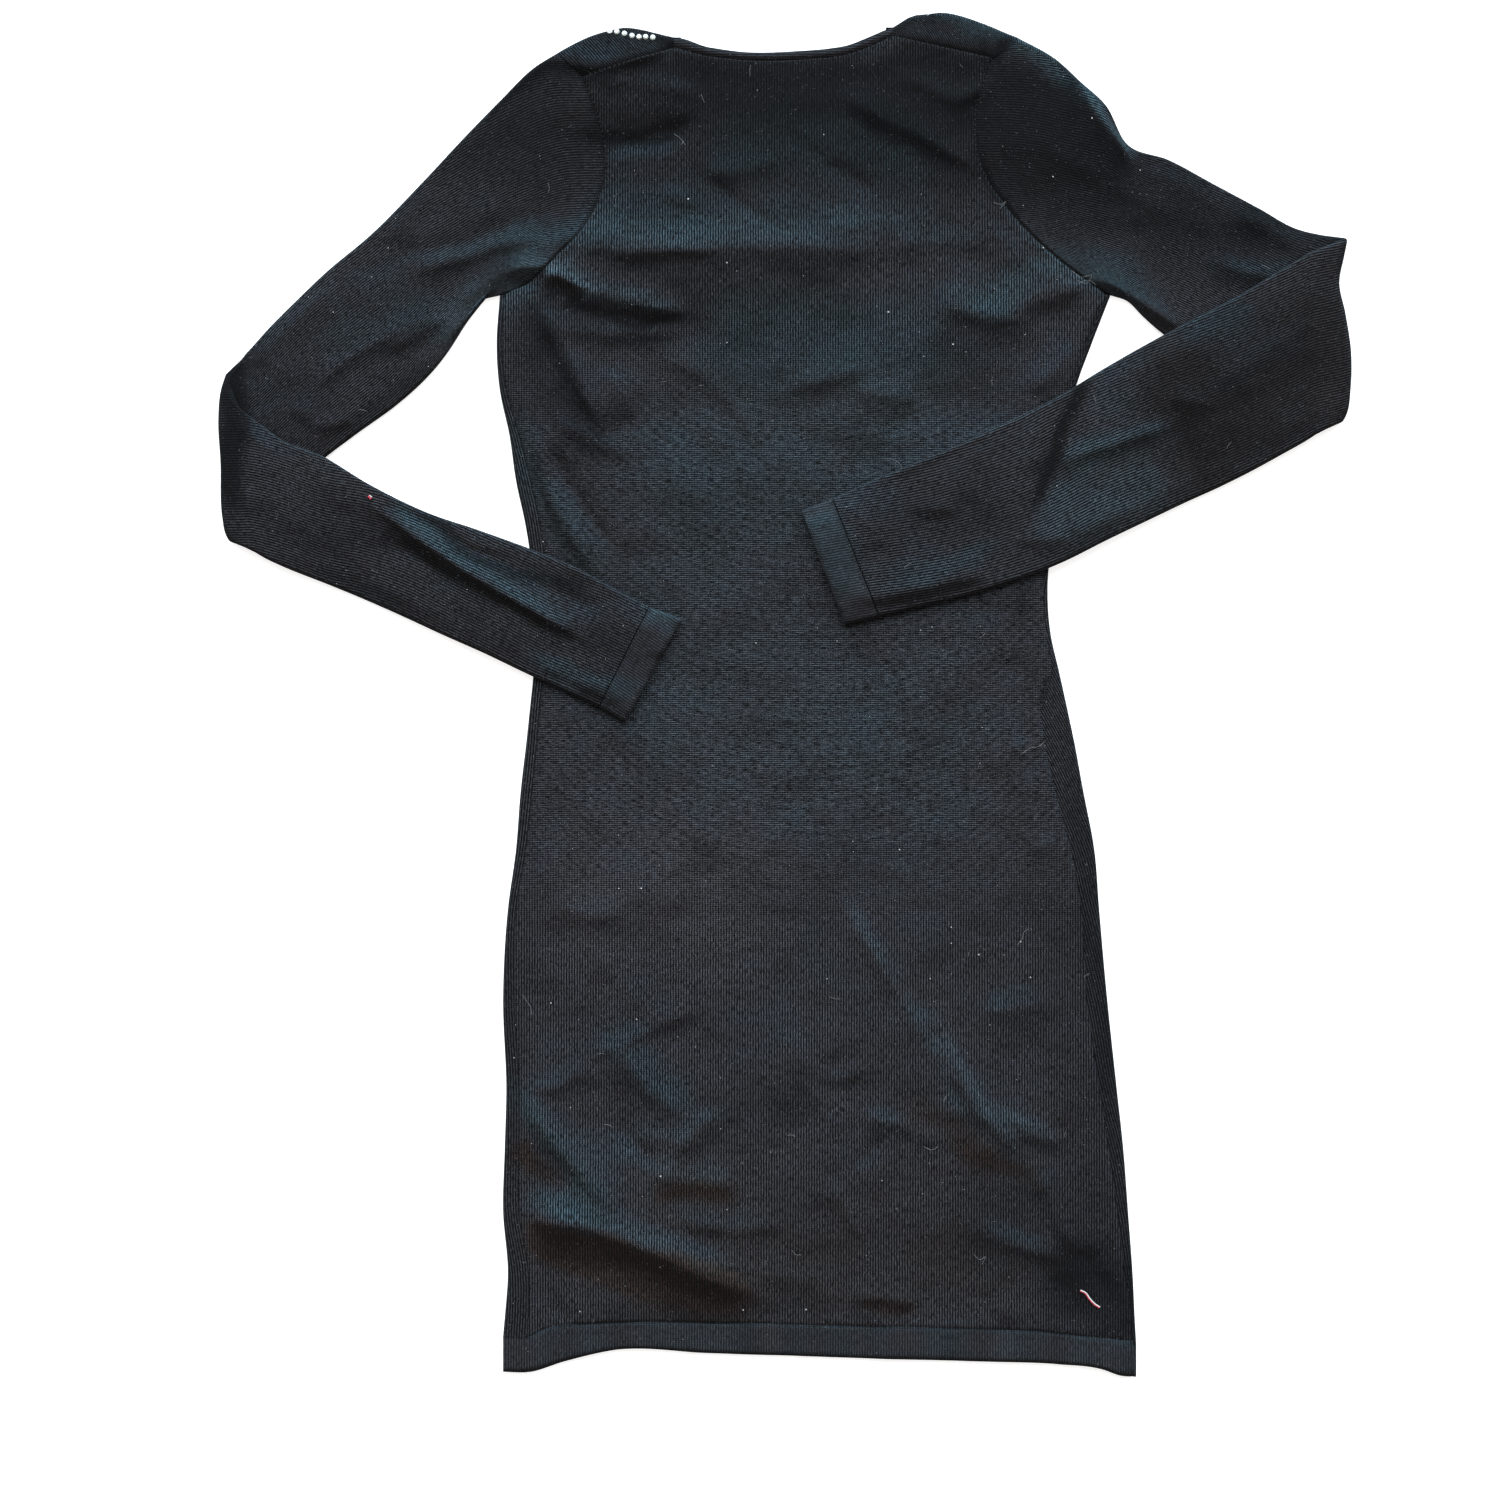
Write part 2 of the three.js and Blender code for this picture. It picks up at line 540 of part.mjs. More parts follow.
// How far the sleeve head bows in from a straight line across the sleeve, to stand off the armhole
// seam by the gap.
function sleeveHead(side, outward) {
  const points = [...seams[side], turns[side]];
  const edge = points.map((point, i) => {
    const before = points[Math.max(0, i - 1)];
    const after = points[Math.min(points.length - 1, i + 1)];
    const seamWay = after.clone().sub(before).normalize();
    const apart = new THREE.Vector3(seamWay.y, -seamWay.x, 0).multiplyScalar(outward * armholeGap);
    return point.clone().add(apart);
  });
  const shareOf = ({ end, share }) => (end ? Number(end === 'b') : share);
  const straight = (spot) => turns[side].clone().lerp(seams[side][0], shareOf(spot));
  const bow = (spot) => edge[spot.seam].clone().sub(straight(spot));
  return { bow };
}

const tubeGap = 2 * seamGap; // between the two halves of a folded sleeve
const foldAxis = turnRadius + tubeGap / 2; // from the middle of the tube to the line it folds about

// One ring of a sleeve. `turn` is 0 before the elbow, pi after it, and between the two at the fold.
function sleeveRing(station, turn, sleeve, head, thick, support) {
  const a = new THREE.Vector3(station.ax, station.ay, 0);
  const b = new THREE.Vector3(station.bx, station.by, 0);
  const width = a.distanceTo(b);
  const onTop = turn === Math.PI;
  const reachOf = ({ end, angle, share }, radius) => {
    const inTurn = radius * Math.cos(angle);
    if (end === 'a') return turnRadius - inTurn;
    if (end === 'b') return width - turnRadius + inTurn;
    return share * width;
  };
  const point = (spot, radius) => {
    const from = reachOf(spot, radius);
    const height = spot.end ? radius * Math.sin(spot.angle) : radius * spot.height;
    const plan = a.clone().lerp(b, from / width);
    if (station.blend) plan.addScaledVector(head.bow(spot), station.blend);
    const lift = onTop ? support(plan.x, plan.y) : 0;
    const axis = onTop ? lift - tubeGap / 2 : flat + tubeGap / 2;
    const reach = foldAxis - height;
    const seen = turn % Math.PI === 0 && !spot.end && spot.height === (onTop ? -1 : 1);
    const soft = smooth(Math.min(from, width - from), 0, sleeveFade) * (1 - (station.blend ?? 0));
    const fold = seen ? Math.max(-1, foldHeight(sleeveFolds, plan.x, plan.y)) * soft : 0;
    return new THREE.Vector3(
      plan.x + sleeve.outward * reach * Math.sin(turn), plan.y, axis - reach * Math.cos(turn) + fold,
    );
  };
  return ringPlaces().map((spot) => ({
    outer: point(spot, turnRadius),
    inner: point(spot, turnRadius - thick),
  }));
}

// What a forearm lies on: its own upper arm near the elbow, the surface, and then the body.
function forearmSupport(sleeve) {
  const edge = sleeve.upper.map(({ bx, by }) => ({ x: sleeve.outward * bx, y: by }));
  return (x, y) => {
    const below = along(edge, 'x', sleeve.outward * x, 'y') - y;
    const overArm = (flat + tubeGap) * (1 - smooth(below, bridge.near, bridge.far));
    return Math.max(0, overArm, bodyTop(x, y));
  };
}

const mix = (from, to, share) => Object.fromEntries(
  ['ax', 'ay', 'bx', 'by'].map((key) => [key, lerp(from[key], to[key], share)]),
);

const elbowSteps = [0.2, 0.4, 0.6, 0.8]; // of the half turn that folds a sleeve back

function sleeveRings(side, sleeve) {
  const head = sleeveHead(side, sleeve.outward);
  const support = forearmSupport(sleeve);
  const ring = (station, turn) => sleeveRing(station, turn, sleeve, head, wall, support);
  const [before, after] = [sleeve.upper.at(-1), sleeve.fore[0]];
  const elbow = elbowSteps.map((share) => {
    const station = share < 0.5
      ? mix(before, sleeve.elbow, 2 * share)
      : mix(sleeve.elbow, after, 2 * share - 1);
    return ring(station, Math.PI * share);
  });
  return [
    ...sleeve.upper.map((station) => ring(station, 0)),
    ...elbow,
    ...sleeve.fore.map((station) => ring(station, Math.PI)),
  ];
}

function cuffRings(side, sleeve) {
  const [from, to] = [sleeve.fore.at(-1), sleeve.cuffEnd];
  const length = Math.hypot(to.ax - from.ax, to.ay - from.ay);
  const head = sleeveHead(side, sleeve.outward);
  const support = forearmSupport(sleeve);
  return bandShares.map((share) => Math.max(share, seamGap / length)).map((share) => (
    sleeveRing(mix(from, to, share), Math.PI, sleeve, head, hemWall, support)
  ));
}

const dress = new THREE.Group();

function sew(name, geometry, material) {
  const piece = new THREE.Mesh(geometry, material);
  piece.name = name;
  dress.add(piece);
}

sew('back_panel', clothWall(backGrid()), cloth);
sew('front_panel', frontPanel(), cloth);
sew('back_hem', backHem(), band);
sew('front_hem', frontHem(), band);
sew('back_neck_band', backNeckBand(), band);
sew('front_neck_band', frontNeckBand(), band);
for (const [side, sleeve] of Object.entries(sleeves)) {
  sew(`${side}_sleeve`, clothWall(sleeveRings(side, sleeve), { ring: true }), cloth);
  sew(`${side}_cuff`, clothWall(cuffRings(side, sleeve), { ring: true }), band);
}

// The origin goes to the middle of the footprint, on the surface.
const box = new THREE.Box3().setFromObject(dress);
const centre = box.getCenter(new THREE.Vector3());
dress.position.set(-centre.x, -centre.y, -box.min.z);

export default dress;
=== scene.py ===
import math

import bpy
import numpy as np
from mathutils import Matrix, Vector, noise
from mathutils.bvhtree import BVHTree


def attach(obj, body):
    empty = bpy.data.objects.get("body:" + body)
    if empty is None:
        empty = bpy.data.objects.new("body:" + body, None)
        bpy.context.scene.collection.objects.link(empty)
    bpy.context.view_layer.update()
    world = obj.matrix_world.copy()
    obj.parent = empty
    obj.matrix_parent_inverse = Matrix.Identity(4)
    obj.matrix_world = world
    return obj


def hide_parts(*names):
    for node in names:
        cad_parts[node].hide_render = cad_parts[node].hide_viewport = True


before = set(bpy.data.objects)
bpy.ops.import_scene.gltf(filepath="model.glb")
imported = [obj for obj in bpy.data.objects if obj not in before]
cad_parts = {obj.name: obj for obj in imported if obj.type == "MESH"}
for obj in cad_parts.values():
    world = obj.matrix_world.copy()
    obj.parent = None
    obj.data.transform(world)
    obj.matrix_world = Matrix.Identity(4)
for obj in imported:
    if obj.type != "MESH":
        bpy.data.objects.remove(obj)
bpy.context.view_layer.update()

mm = 0.001
middle = (-0.20, 422.63)  # the middle of the footprint, in the pattern's millimetres


# small helpers for shapes

def smooth(value, low, high):
    share = np.clip((value - low) / (high - low), 0, 1)
    return share * share * (3 - 2 * share)


def mix(first, second, share):
    return first + (second - first) * share


def curveOver(xs, ys):  # a soft curve through measured points, as a function of x
    xs, ys = np.array(xs, float), np.array(ys, float)
    slopes = np.gradient(ys, xs)

    def at(x):
        x = np.clip(x, xs[0], xs[-1])
        i = np.clip(np.searchsorted(xs, x, side="right") - 1, 0, len(xs) - 2)
        gap = xs[i + 1] - xs[i]
        t = (x - xs[i]) / gap
        rise = 3 * t**2 - 2 * t**3
        return (mix(ys[i], ys[i + 1], rise) + (t**3 - 2 * t**2 + t) * gap * slopes[i]
                + (t**3 - t**2) * gap * slopes[i + 1])

    return at


def distances(points, axis=0):  # along a row of points, from its start
    steps = np.cumsum(np.linalg.norm(np.diff(points, axis=axis), axis=-1), axis=axis)
    return np.concatenate([0 * np.take(steps, [0], axis), steps], axis)


def pathThrough(points):  # a soft path through points, by the share of its length
    points = np.array(points, float)
    steps = distances(points)
    parts = [curveOver(steps, column) for column in points.T]
    return lambda share: np.stack([part(share * steps[-1]) for part in parts], axis=-1)


def closeAtEnds(count, length, near=(0, 0.5, 1.1, 1.9, 3.0, 4.5)):  # shares, closer together at the ends
    near = np.array(near)
    inner = np.linspace(near[-1], length - near[-1], count)[1:-1]
    return np.r_[near, inner, length - near[::-1]] / length


def softNoise(x, y, size, seed):
    values = [noise.noise(Vector((a / size, b / size, seed))) for a, b in zip(np.ravel(x), np.ravel(y))]
    return np.array(values).reshape(np.shape(x))


foldEnds = (0.25, 0.72)  # shares of a fold's length where it has risen in full and starts to fade


def foldsAt(folds, x, y, crest=1.25):  # height of a list of soft folds at points of the pattern
    height = np.zeros(np.shape(x))
    for rise, above, below, line in folds:
        line = np.array(line, float)
        if line[0, 0] > line[-1, 0]:
            line = line[::-1]
        starts = distances(line)
        best, side, share = (np.full(np.shape(x), start) for start in (1e9, 0.0, 0.0))
        for k, start in enumerate(line[:-1]):
            length = starts[k + 1] - starts[k]
            dx, dy = (line[k + 1] - start) / length
            ahead = np.clip((x - start[0]) * dx + (y - start[1]) * dy, 0, length)
            offX, offY = x - start[0] - ahead * dx, y - start[1] - ahead * dy
            away = np.hypot(offX, offY)
            closer = away < best
            best = np.where(closer, away, best)
            side = np.where(closer, offY * dx - offX * dy, side)
            share = np.where(closer, (starts[k] + ahead) / starts[-1], share)
        spread = np.where(side > 0, above, below)
        ends = smooth(share, 0, foldEnds[0]) * (1 - smooth(share, foldEnds[1], 1))
        height += rise * ends * np.exp(-(best / spread) ** crest)
    return height


# the pieces are grids of cloth, shaped row by row

gridLook = {"weld": 0.000002, "smoothUnder": math.radians(60)}


def pick(piece):
    bpy.ops.object.select_all(action="DESELECT")
    piece.select_set(True)
    bpy.context.view_layer.objects.active = piece


def standFor(piece, solid):
    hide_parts(solid)
    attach(piece, "root")
    return piece


def clothPiece(name, points, lengths, brushed, material, thickness, keep=None, flip=False):
    rows, columns = points.shape[:2]
    bpy.ops.object.select_all(action="DESELECT")
    bpy.ops.mesh.primitive_grid_add(x_subdivisions=columns - 1, y_subdivisions=rows - 1, size=1)
    piece = bpy.context.object
    piece.name = piece.data.name = name
    mesh = piece.data
    spots = np.empty(len(mesh.vertices) * 3)
    mesh.vertices.foreach_get("co", spots)
    spots = spots.reshape(-1, 3)
    column = np.rint((spots[:, 0] + 0.5) * (columns - 1)).astype(int)
    row = np.rint((spots[:, 1] + 0.5) * (rows - 1)).astype(int)
    placed = (points[row, column] - (*middle, 0)) * mm
    mesh.vertices.foreach_set("co", placed.ravel())
    corners = np.empty(len(mesh.loops), int)
    mesh.loops.foreach_get("vertex_index", corners)
    layer = mesh.uv_layers.active
    layer.name = "knit"
    layer.data.foreach_set("uv", (lengths[row[corners], column[corners]] * mm).ravel())
    tones = mesh.uv_layers.new(name="brushed")
    tones.data.foreach_set("uv", brushed[row[corners], column[corners]].ravel())
    bpy.ops.object.mode_set(mode="EDIT")
    bpy.ops.mesh.select_mode(type="FACE")
    if keep is not None:
        bpy.ops.mesh.select_all(action="DESELECT")
        bpy.ops.object.mode_set(mode="OBJECT")
        faces = corners.reshape(-1, 4)
        mesh.polygons.foreach_set("select", ~keep[row[faces].min(axis=1), column[faces].min(axis=1)])
        bpy.ops.object.mode_set(mode="EDIT")
        bpy.ops.mesh.delete(type="FACE")
    bpy.ops.mesh.select_all(action="SELECT")
    bpy.ops.mesh.remove_doubles(threshold=gridLook["weld"])
    if flip:
        bpy.ops.mesh.flip_normals()
    bpy.ops.object.mode_set(mode="OBJECT")
    wall = piece.modifiers.new("wall", "SOLIDIFY")
    wall.thickness = thickness * mm
    wall.offset = -1
    bpy.ops.object.modifier_apply(modifier=wall.name)
    for vertex in mesh.vertices:
        vertex.co.z = max(vertex.co.z, 0)  # nothing sinks into the surface it lies on
    bpy.ops.object.shade_smooth_by_angle(angle=gridLook["smoothUnder"])
    mesh.materials.append(material)
    print("made", name, "of", len(mesh.polygons), "faces")
    return piece


# knit

def plug(tree, value, socket):
    if isinstance(value, bpy.types.NodeSocket):
        tree.links.new(value, socket)
    else:
        socket.default_value = value


def node(tree, kind, values=(), **settings):
    made = tree.nodes.new(kind)
    for key, value in settings.items():
        setattr(made, key, value)
    for key, value in dict(values).items():
        plug(tree, value, made.inputs[key])
    return made


def maths(tree, way, *values):
    return node(tree, "ShaderNodeMath", dict(enumerate(values)), operation=way).outputs[0]


def mixValues(tree, share, first, second):
    return node(tree, "ShaderNodeMix", {0: share, 2: first, 3: second}).outputs[0]


def mixColours(tree, share, first, second, way="MIX"):
    values = {0: share, 6: first, 7: second}
    return node(tree, "ShaderNodeMix", values, data_type="RGBA", blend_type=way).outputs[2]


def mapRange(tree, value, low, high, toLow=0.0, toHigh=1.0, way="LINEAR"):
    values = {"Value": value, "From Min": low, "From Max": high, "To Min": toLow, "To Max": toHigh}
    return node(tree, "ShaderNodeMapRange", values, interpolation_type=way).outputs["Result"]


def noiseAt(tree, spots, scale, detail, roughness=0.5):
    values = {"Vector": spots, "Scale": scale, "Detail": detail, "Roughness": roughness}
    return node(tree, "ShaderNodeTexNoise", values).outputs["Fac"]


def wavesAt(tree, spots, pitch, way, distortion, detail, detailScale):
    bandPerWave = math.pi / 10  # a wave texture of scale 1 has a band every pi / 10
    values = {"Vector": spots, "Scale": bandPerWave / pitch, "Distortion": distortion, "Detail": detail,
              "Detail Scale": detailScale}
    return node(tree, "ShaderNodeTexWave", values, bands_direction=way).outputs["Fac"]


def ramp(tree, factor, stops):
    made = node(tree, "ShaderNodeValToRGB", {"Fac": factor})
    for element, (place, colour) in zip(made.color_ramp.elements, (stops[0], stops[-1])):
        element.position, element.color = place, (*colour, 1)
    for place, colour in stops[1:-1]:
        made.color_ramp.elements.new(place).color = (*colour, 1)
    return made.outputs["Color"]


knitLook = {
    "wale": 1.65 * mm,  # from rib to rib
    "course": 1.2 * mm,  # from row to row of stitches
    "rib": (0.057, 0.057, 0.0675, 1),
    "groove": (0.0025, 0.0025, 0.003, 1),
    "grooveEnds": (0.3, 0.76),  # heights of the knit between which it goes from groove to rib
    # painted light and shade in hue: browner tones give a painted brown shade, bluer ones a painted blue-green
    # sheen
    "hues": [(0.0, (1.25, 0.82, 0.6)), (0.33, (1.1, 0.98, 0.88)), (0.5, (1, 1, 1)), (0.75, (0.86, 1.07, 1.08)),
             (1.0, (0.74, 1.12, 1.13))],
    "casts": (26.0, 0.22),  # size and strength of smaller changes of hue
    "paintedLightRamp": [(0.0, (0.2, 0.2, 0.2)), (0.25, (0.55, 0.55, 0.55)), (0.5, (1, 1, 1)), (0.75, (1.5, 1.5, 1.5)),
               (1.0, (2.1, 2.1, 2.1))],
    "fuzz": 0.22,  # share of loose fibre that hides the stitches
    "speck": (0.085, 0.09, 0.1, 1),  # stray fibre ends
    "specks": (900.0, 0.7, 0.8),  # their size, and the noise from which they start to show
    "relief": 0.5 * mm,
    # painted light by slope: a blue-green sheen where the knit faces the neck, the side the window light comes
    # from, and a painted brown shade where it faces away
    "paintedSlopeLight": [(0.0, (0.36, 0.31, 0.28)), (0.3, (0.75, 0.72, 0.7)), (0.5, (1, 1, 1)), (0.7, (1.0, 1.1, 1.14)),
            (1.0, (1.08, 1.36, 1.46))],
    "paintedSlopeLightLean": 0.22,  # sine of the slope at which it has its full colour
    "waist": (0.24, 0.36, 0.56, 0.68),  # metres above the hem between which the knit is stretched
    "stretch": 6.8 * mm,  # from one drawn row to the next, where the waist is stretched
    "drawn": (1.07, 0.86),  # light on a drawn row and between two
    "shader": {"Roughness": 0.82, "Specular IOR Level": 0.06, "Sheen Weight": 0.035, "Sheen Roughness": 0.35,
               "Sheen Tint": (0.62, 0.83, 0.95, 1)},
}


def rampUp(tree, value, low, high):  # 0 below low and 1 above high, or the other way round
    return mapRange(tree, value, low, high, way="SMOOTHSTEP")


def drawnRows(tree, lengths, pitch):  # rows in wide bows across the waist, lower at its sides
    across, up, _ = node(tree, "ShaderNodeSeparateXYZ", {0: lengths}).outputs
    fromMiddle = maths(tree, "ABSOLUTE", maths(tree, "ADD", across, -0.02))
    bowed = maths(tree, "SUBTRACT", up, maths(tree, "MULTIPLY", maths(tree, "POWER", fromMiddle, 2.2), 5.0))
    rows = node(tree, "ShaderNodeCombineXYZ", {"X": maths(tree, "MULTIPLY", across, 0.25), "Y": bowed}).outputs[0]
    return wavesAt(tree, rows, pitch, "Y", 2.2, 2.5, 0.35)


def streaks(tree, lengths, drawnOut):  # loops that stand up more or less, in short rows
    rows = node(tree, "ShaderNodeVectorMath", {0: lengths, 1: drawnOut}, operation="MULTIPLY").outputs[0]
    return noiseAt(tree, rows, 1900.0, 2.0, 0.8)


def knit(name, look, ribShare=1.0, tint=1.0, stretched=False):
    material = bpy.data.materials.new(name)
    material.use_nodes = True
    tree = material.node_tree
    shader = tree.nodes["Principled BSDF"]
    lengths = node(tree, "ShaderNodeUVMap", uv_map="knit").outputs["UV"]
    place = node(tree, "ShaderNodeTexCoord").outputs["Object"]

    # ribs and rows of loops
    ribs = wavesAt(tree, lengths, look["wale"], "X", 0.5, 1.5, 0.6)
    courses = wavesAt(tree, lengths, look["course"], "Y", 1.2, 2.0, 0.8)
    fuzz = streaks(tree, lengths, (1, 0.16, 1))
    if stretched:
        upDress = node(tree, "ShaderNodeSeparateXYZ", {0: lengths}).outputs["Y"]
        low, full, ebb, high = look["waist"]
        inWaist = maths(tree, "MULTIPLY", rampUp(tree, upDress, low, full), rampUp(tree, upDress, high, ebb))
        courseShare = maths(tree, "MULTIPLY_ADD", inWaist, 0.62, 0.15)
        fuzz = mixValues(tree, inWaist, fuzz, streaks(tree, lengths, (0.12, 0.8, 1)))
    else:
        courseShare = maths(tree, "MULTIPLY", noiseAt(tree, place, 9.0, 3.0), 0.35)
    loops = mixValues(tree, courseShare, ribs, courses)
    fuzz = mapRange(tree, fuzz, 0.3, 0.66, 0.28)
    surface = mixValues(tree, look["fuzz"], maths(tree, "MULTIPLY", loops, fuzz), fuzz)

    # painted light and shade from the cloth's second map: lighter and darker, a blue-green sheen and a brown shade,
    # with small random casts of hue
    brushed = node(tree, "ShaderNodeUVMap", uv_map="brushed").outputs["UV"]
    light, blue, _ = node(tree, "ShaderNodeSeparateXYZ", {0: brushed}).outputs
    castSize, castShare = look["casts"]
    casts = mapRange(tree, noiseAt(tree, place, castSize, 5.0, 0.65), 0.0, 1.0, -castShare, castShare)
    # painted light and shade, by the way the surface faces the window light
    slope = node(tree, "ShaderNodeNewGeometry").outputs["Normal"]
    lean = node(tree, "ShaderNodeSeparateXYZ", {0: slope}).outputs["Y"]
    lean = mapRange(tree, lean, -look["paintedSlopeLightLean"], look["paintedSlopeLightLean"])
    colour = ramp(tree, maths(tree, "ADD", blue, casts), look["hues"])
    factors = ramp(tree, light, look["paintedLightRamp"]), look["rib"], (tint, tint, tint, 1), ramp(tree, lean, look["paintedSlopeLight"])
    for factor in factors:
        colour = mixColours(tree, 1.0, colour, factor, "MULTIPLY")
    colour = mixColours(tree, mapRange(tree, surface, *look["grooveEnds"], 1.0 - ribShare), look["groove"], colour)
    speckSize, speckLow, speckHigh = look["specks"]
    fibres = rampUp(tree, noiseAt(tree, place, speckSize, 1.0), speckLow, speckHigh)
    colour = mixColours(tree, fibres, colour, look["speck"])
    if stretched:
        drawn = maths(tree, "MULTIPLY", drawnRows(tree, lengths, look["stretch"]), inWaist)
        dim = mapRange(tree, drawn, 0.0, 1.0, *look["drawn"])
        colour = node(tree, "ShaderNodeVectorMath", {0: colour, "Scale": dim}, operation="SCALE").outputs[0]

    bump = node(tree, "ShaderNodeBump", {"Height": surface, "Distance": look["relief"], "Strength": 0.8})
    values = {"Base Color": colour, "Normal": bump.outputs["Normal"], **look["shader"]}
    for key, value in values.items():
        plug(tree, value, shader.inputs[key])
    return material


knitCloth = knit("black knit", knitLook)
backKnit = knit("black knit of the back", knitLook, stretched=True)
turnedCloth = knit("turned black knit", {**knitLook, "relief": 0.35 * mm}, ribShare=0.85, tint=0.88)
# a copy of the same knit darkened by a painted shade, used for the whole front panel
frontKnit = knit("black knit in shade", knitLook, tint=0.7)
print("knit ready")

# measures of the dress as it lies, in millimetres from the photograph's middle line and hem

# height, left and right outline, where the left side seam and the back's right edge lie
outline = [
    (30, -175, 218, -160, 215.5), (46, -173.5, 217, -159, 214.5), (66, -172, 216, -159, 211),
    (104, -175, 213, -165, 206), (141, -174, 210, -165, 200.5), (178, -173, 206, -165, 195),
    (234, -175, 200, -168, 187), (290, -172, 195, -167, 183.5), (327, -167, 192, -161, 177),
    (364, -164, 185, -157, 167.5), (394, -160.5, 179.5, -154, 161), (413, -158.5, 175.5, -152.5, 159),
    (438, -156, 170, -150, 165), (460, -155, 165, -148, 162), (490, -156, 163, -148, 160),
    (528, -161, 167, -152, 164), (556, -167, 170, -158, 167), (584, -171, 175, -165, 172),
    (612, -177, 180, -173, 177), (640, -179, 190, -176, 187), (671, -177, 202, -174, 199),
]
levels, *columns = np.array(outline, float).T
leftSide, rightSide, sideSeam, backFold = (curveOver(levels, column) for column in columns)
underarm = levels[-1]
hemLevel = levels[0]

armholes = {
    "left": [(-177, 671), (-162, 677), (-146, 691), (-126, 711), (-112, 745), (-116, 778), (-126, 807)],
    "right": [(202, 671), (188, 680), (163, 699), (141, 722), (122, 752), (119, 782), (130, 818)],
}
armhole = {side: pathThrough(points) for side, points in armholes.items()}
shoulderTurn = {"left": (-140, 822), "right": (144, 831)}
hemEdge = curveOver([-175, -158, -136, -105, -50, 40, 110, 170, 197, 208, 218],
                    [3, 3, 10, 17, 15, 12, 10, 8, 5, 1, 0])
hemSeam = curveOver([-175, -158, -150, -120, -70, 10, 100, 170, 205, 218],
                    [25, 25, 29, 33, 34, 32, 30, 27, 22, 20])
neckCurve = curveOver([-69, -52, -30, 15, 38, 50, 67], [825, 820.5, 817.5, 817.8, 820.5, 824.5, 832])
neckTop = curveOver([-69, -60, -50, -40, -30, 10, 29, 39, 49, 59, 67],
                    [831.5, 828.9, 825.2, 823.4, 822, 822.3, 824, 825.8, 829.6, 833.9, 837.5])
frontTurn = curveOver([-140, -130, -120, -110, -100, -90, -80, -69, 67, 79, 88, 98, 108, 118, 128, 138, 144],
                      [822, 827.5, 832, 835, 837, 836, 833.6, 831, 837.2, 844.3, 845.4, 846.4, 844.6, 841.4,
                       837.6, 833.3, 831])
neckPoint = (-69, 67)


def shoulderLine(x):  # the neck and both shoulder seams on the back
    left = mix(807, 825, (x + 126) / 57)
    right = mix(832, 818, (x - 67) / 63)
    return np.where(x < neckPoint[0], left, np.where(x > neckPoint[1], right, neckCurve(x)))


